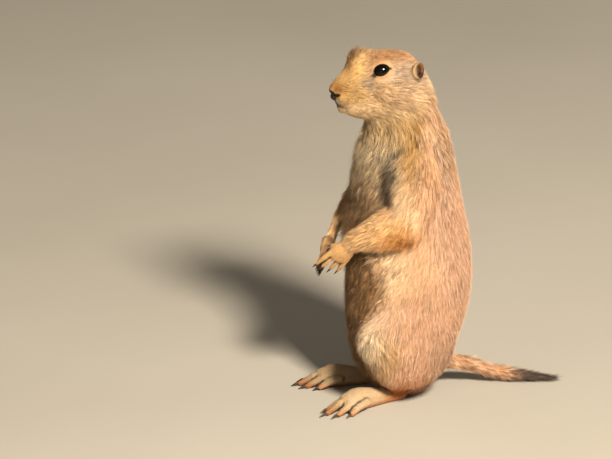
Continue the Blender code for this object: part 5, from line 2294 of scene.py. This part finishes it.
@dataclass
class Studio:
    """Floor, lights and camera.

    Attributes:
        posture: Where the body stands.
        azimuth: Of the camera, 0 looking along +y and 90 along -x.
        elevation: Of the camera above the horizon.
        distance: From the camera to what it looks at, in metres.
        pixel: What one pixel of the frame is at the animal, in millimetres.
        origin_pixel: Where the body's origin lies in the frame.
        frame_size: Width and height of the frame, in pixels.
        sensor: Width of the camera's sensor.
        clip: Nearest and farthest thing that the camera sees, in metres.
        reach: Half the side of the floor, in metres.
        glow: Colour of the even light.
        glow_strength: Its strength.
    """

    posture: Posture
    azimuth: float = 72.0
    elevation: float = 20.0
    distance: float = 3.5
    pixel: float = 0.76
    origin_pixel: tuple[float, float] = (405.0, 389.6)
    frame_size: tuple[int, int] = (612, 459)
    sensor: float = 36.0
    clip: tuple[float, float] = (0.1, 60.0)
    reach: float = 9.0
    glow: Colour = (0.94, 0.84, 0.68)
    glow_strength: float = 0.18

    LAMPS = (
        Lamp("key", (0.74, 0.08, 0.66), 2.4, 0.42, 128.0, (1.0, 0.89, 0.73)),
        Lamp("fill", (0.80, -0.75, 0.30), 2.8, 1.8, 3.0, (1.0, 0.93, 0.84)),
        Lamp("rim", (0.05, 0.95, 0.45), 2.6, 1.2, 6.0, (1.0, 0.93, 0.84)),
    )
    PAINT = Horn("floor_paint", (0.42, 0.39, 0.34), (0.45, 0.42, 0.37), 3.0, 0.85, 0.02)

    def build(self) -> None:
        """Sets up the studio."""
        self._floor()
        self._world()
        self._camera()
        for lamp in self.LAMPS:
            lamp.hang()
        LOG.info("studio")

    def _view(self) -> tuple[Vector, Vector, Vector]:
        """The camera's own directions.

        Returns:
            Its right, up and back.
        """
        turn, rise = math.radians(self.azimuth), math.radians(self.elevation)
        level = math.cos(rise)
        back = Vector((math.sin(turn) * level, -math.cos(turn) * level, math.sin(rise)))
        right = Vector((0.0, 0.0, 1.0)).cross(back).normalized()
        return right, back.cross(right), back

    def _camera(self) -> None:
        """The camera, with the body's origin at its place in the frame."""
        right, up, back = self._view()
        wide, high = self.frame_size
        across = (wide / 2.0 - self.origin_pixel[0]) * self.pixel * MM
        above = (self.origin_pixel[1] - high / 2.0) * self.pixel * MM
        target = self.posture.body_origin + right * across + up * above
        data = bpy.data.cameras.new("camera")
        data.sensor_fit = "HORIZONTAL"
        data.sensor_width = self.sensor
        data.lens = self.sensor * self.distance / (wide * self.pixel * MM)
        data.clip_start, data.clip_end = self.clip
        camera = placed("camera", data)
        turn = Matrix((right, up, back)).transposed().to_4x4()
        camera.matrix_world = Matrix.Translation(target + back * self.distance) @ turn
        bpy.context.scene.camera = camera

    def _floor(self) -> None:
        """A wide pale floor."""
        mesh = bpy.data.meshes.new("floor")
        ends = (-self.reach, self.reach)
        corners = [(x, y, 0.0) for x in ends for y in ends]
        mesh.from_pydata(corners, [], [(0, 2, 3, 1)])
        mesh.materials.append(self.PAINT.material())
        placed("floor", mesh)

    def _world(self) -> None:
        """Even light from all round."""
        world = bpy.data.worlds.new("studio")
        world.use_nodes = True
        shade = world.node_tree.nodes["Background"]
        shade.inputs["Color"].default_value = (*self.glow, 1.0)
        shade.inputs["Strength"].default_value = self.glow_strength
        scene = bpy.context.scene
        scene.world = world
        scene.view_settings.view_transform = "Standard"


# ---------------------------------------------------------------- the whole


@dataclass
class PrairieDog:
    """The animal's looks over its fixed solids.

    Attributes:
        posture: Where body and head stand.
        furs: The coat of each node.
    """

    posture: Posture
    furs: dict[str, Fur] = field(default_factory=fur_table)

    CLAW = Horn("claw_horn", (0.020, 0.014, 0.011), (0.075, 0.048, 0.032), 420.0, 0.42, 0.15)
    NOSE = Horn("nose_leather", (0.005, 0.004, 0.003), (0.016, 0.010, 0.008), 1500.0, 0.5, 0.5)

    def build(self) -> None:
        """Makes skin, coat, eyes and whiskers, and finishes claws and nose."""
        surface = Skin(self.posture, self.furs).build()
        LOG.info("skin: %d triangles", len(surface.faces))
        growth = Growth(surface, self.posture, self.furs)
        growth.build()
        colours = Markings(surface, self.posture).build()
        self._write_skin(surface, colours)
        for tuft in (Coat.BENT, Coat.STRAIGHT):
            Coat(surface, growth, colours, tuft).build()
        for side in Side:
            Eye(self.posture, side).build()
            LOG.info("eye %s", side.label)
        Whiskers(self.posture, surface).build()
        LOG.info("whiskers")
        self._finish_nodes()

    def _write_skin(self, surface: Surface, colours: Array) -> None:
        """The skin as one piece in place of the flesh.

        Args:
            surface: Its surface.
            colours: Its markings.
        """
        skin = write_mesh("skin", surface.points, surface.faces, colours * UNDERCOAT)
        skin.data.materials.append(SkinFinish("skin").material())
        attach(skin, "root")
        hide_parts(*self.furs)

    def _finish_nodes(self) -> None:
        """Better finishes on the claws and the nose pad."""
        claw, nose = self.CLAW.material(), self.NOSE.material()
        for name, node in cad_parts.items():
            if name.startswith("claw_"):
                node.material_slots[0].material = claw
            elif name == "nose":
                node.material_slots[0].material = nose
        LOG.info("claws and nose")


def main() -> None:
    """Builds the animal and the studio."""
    logging.basicConfig(level=logging.INFO, format="%(name)s: %(message)s", force=True)
    posture = Posture.read()
    PrairieDog(posture).build()
    Studio(posture).build()
    LOG.info("sizes kept")


if __name__ == "__main__":
    main()
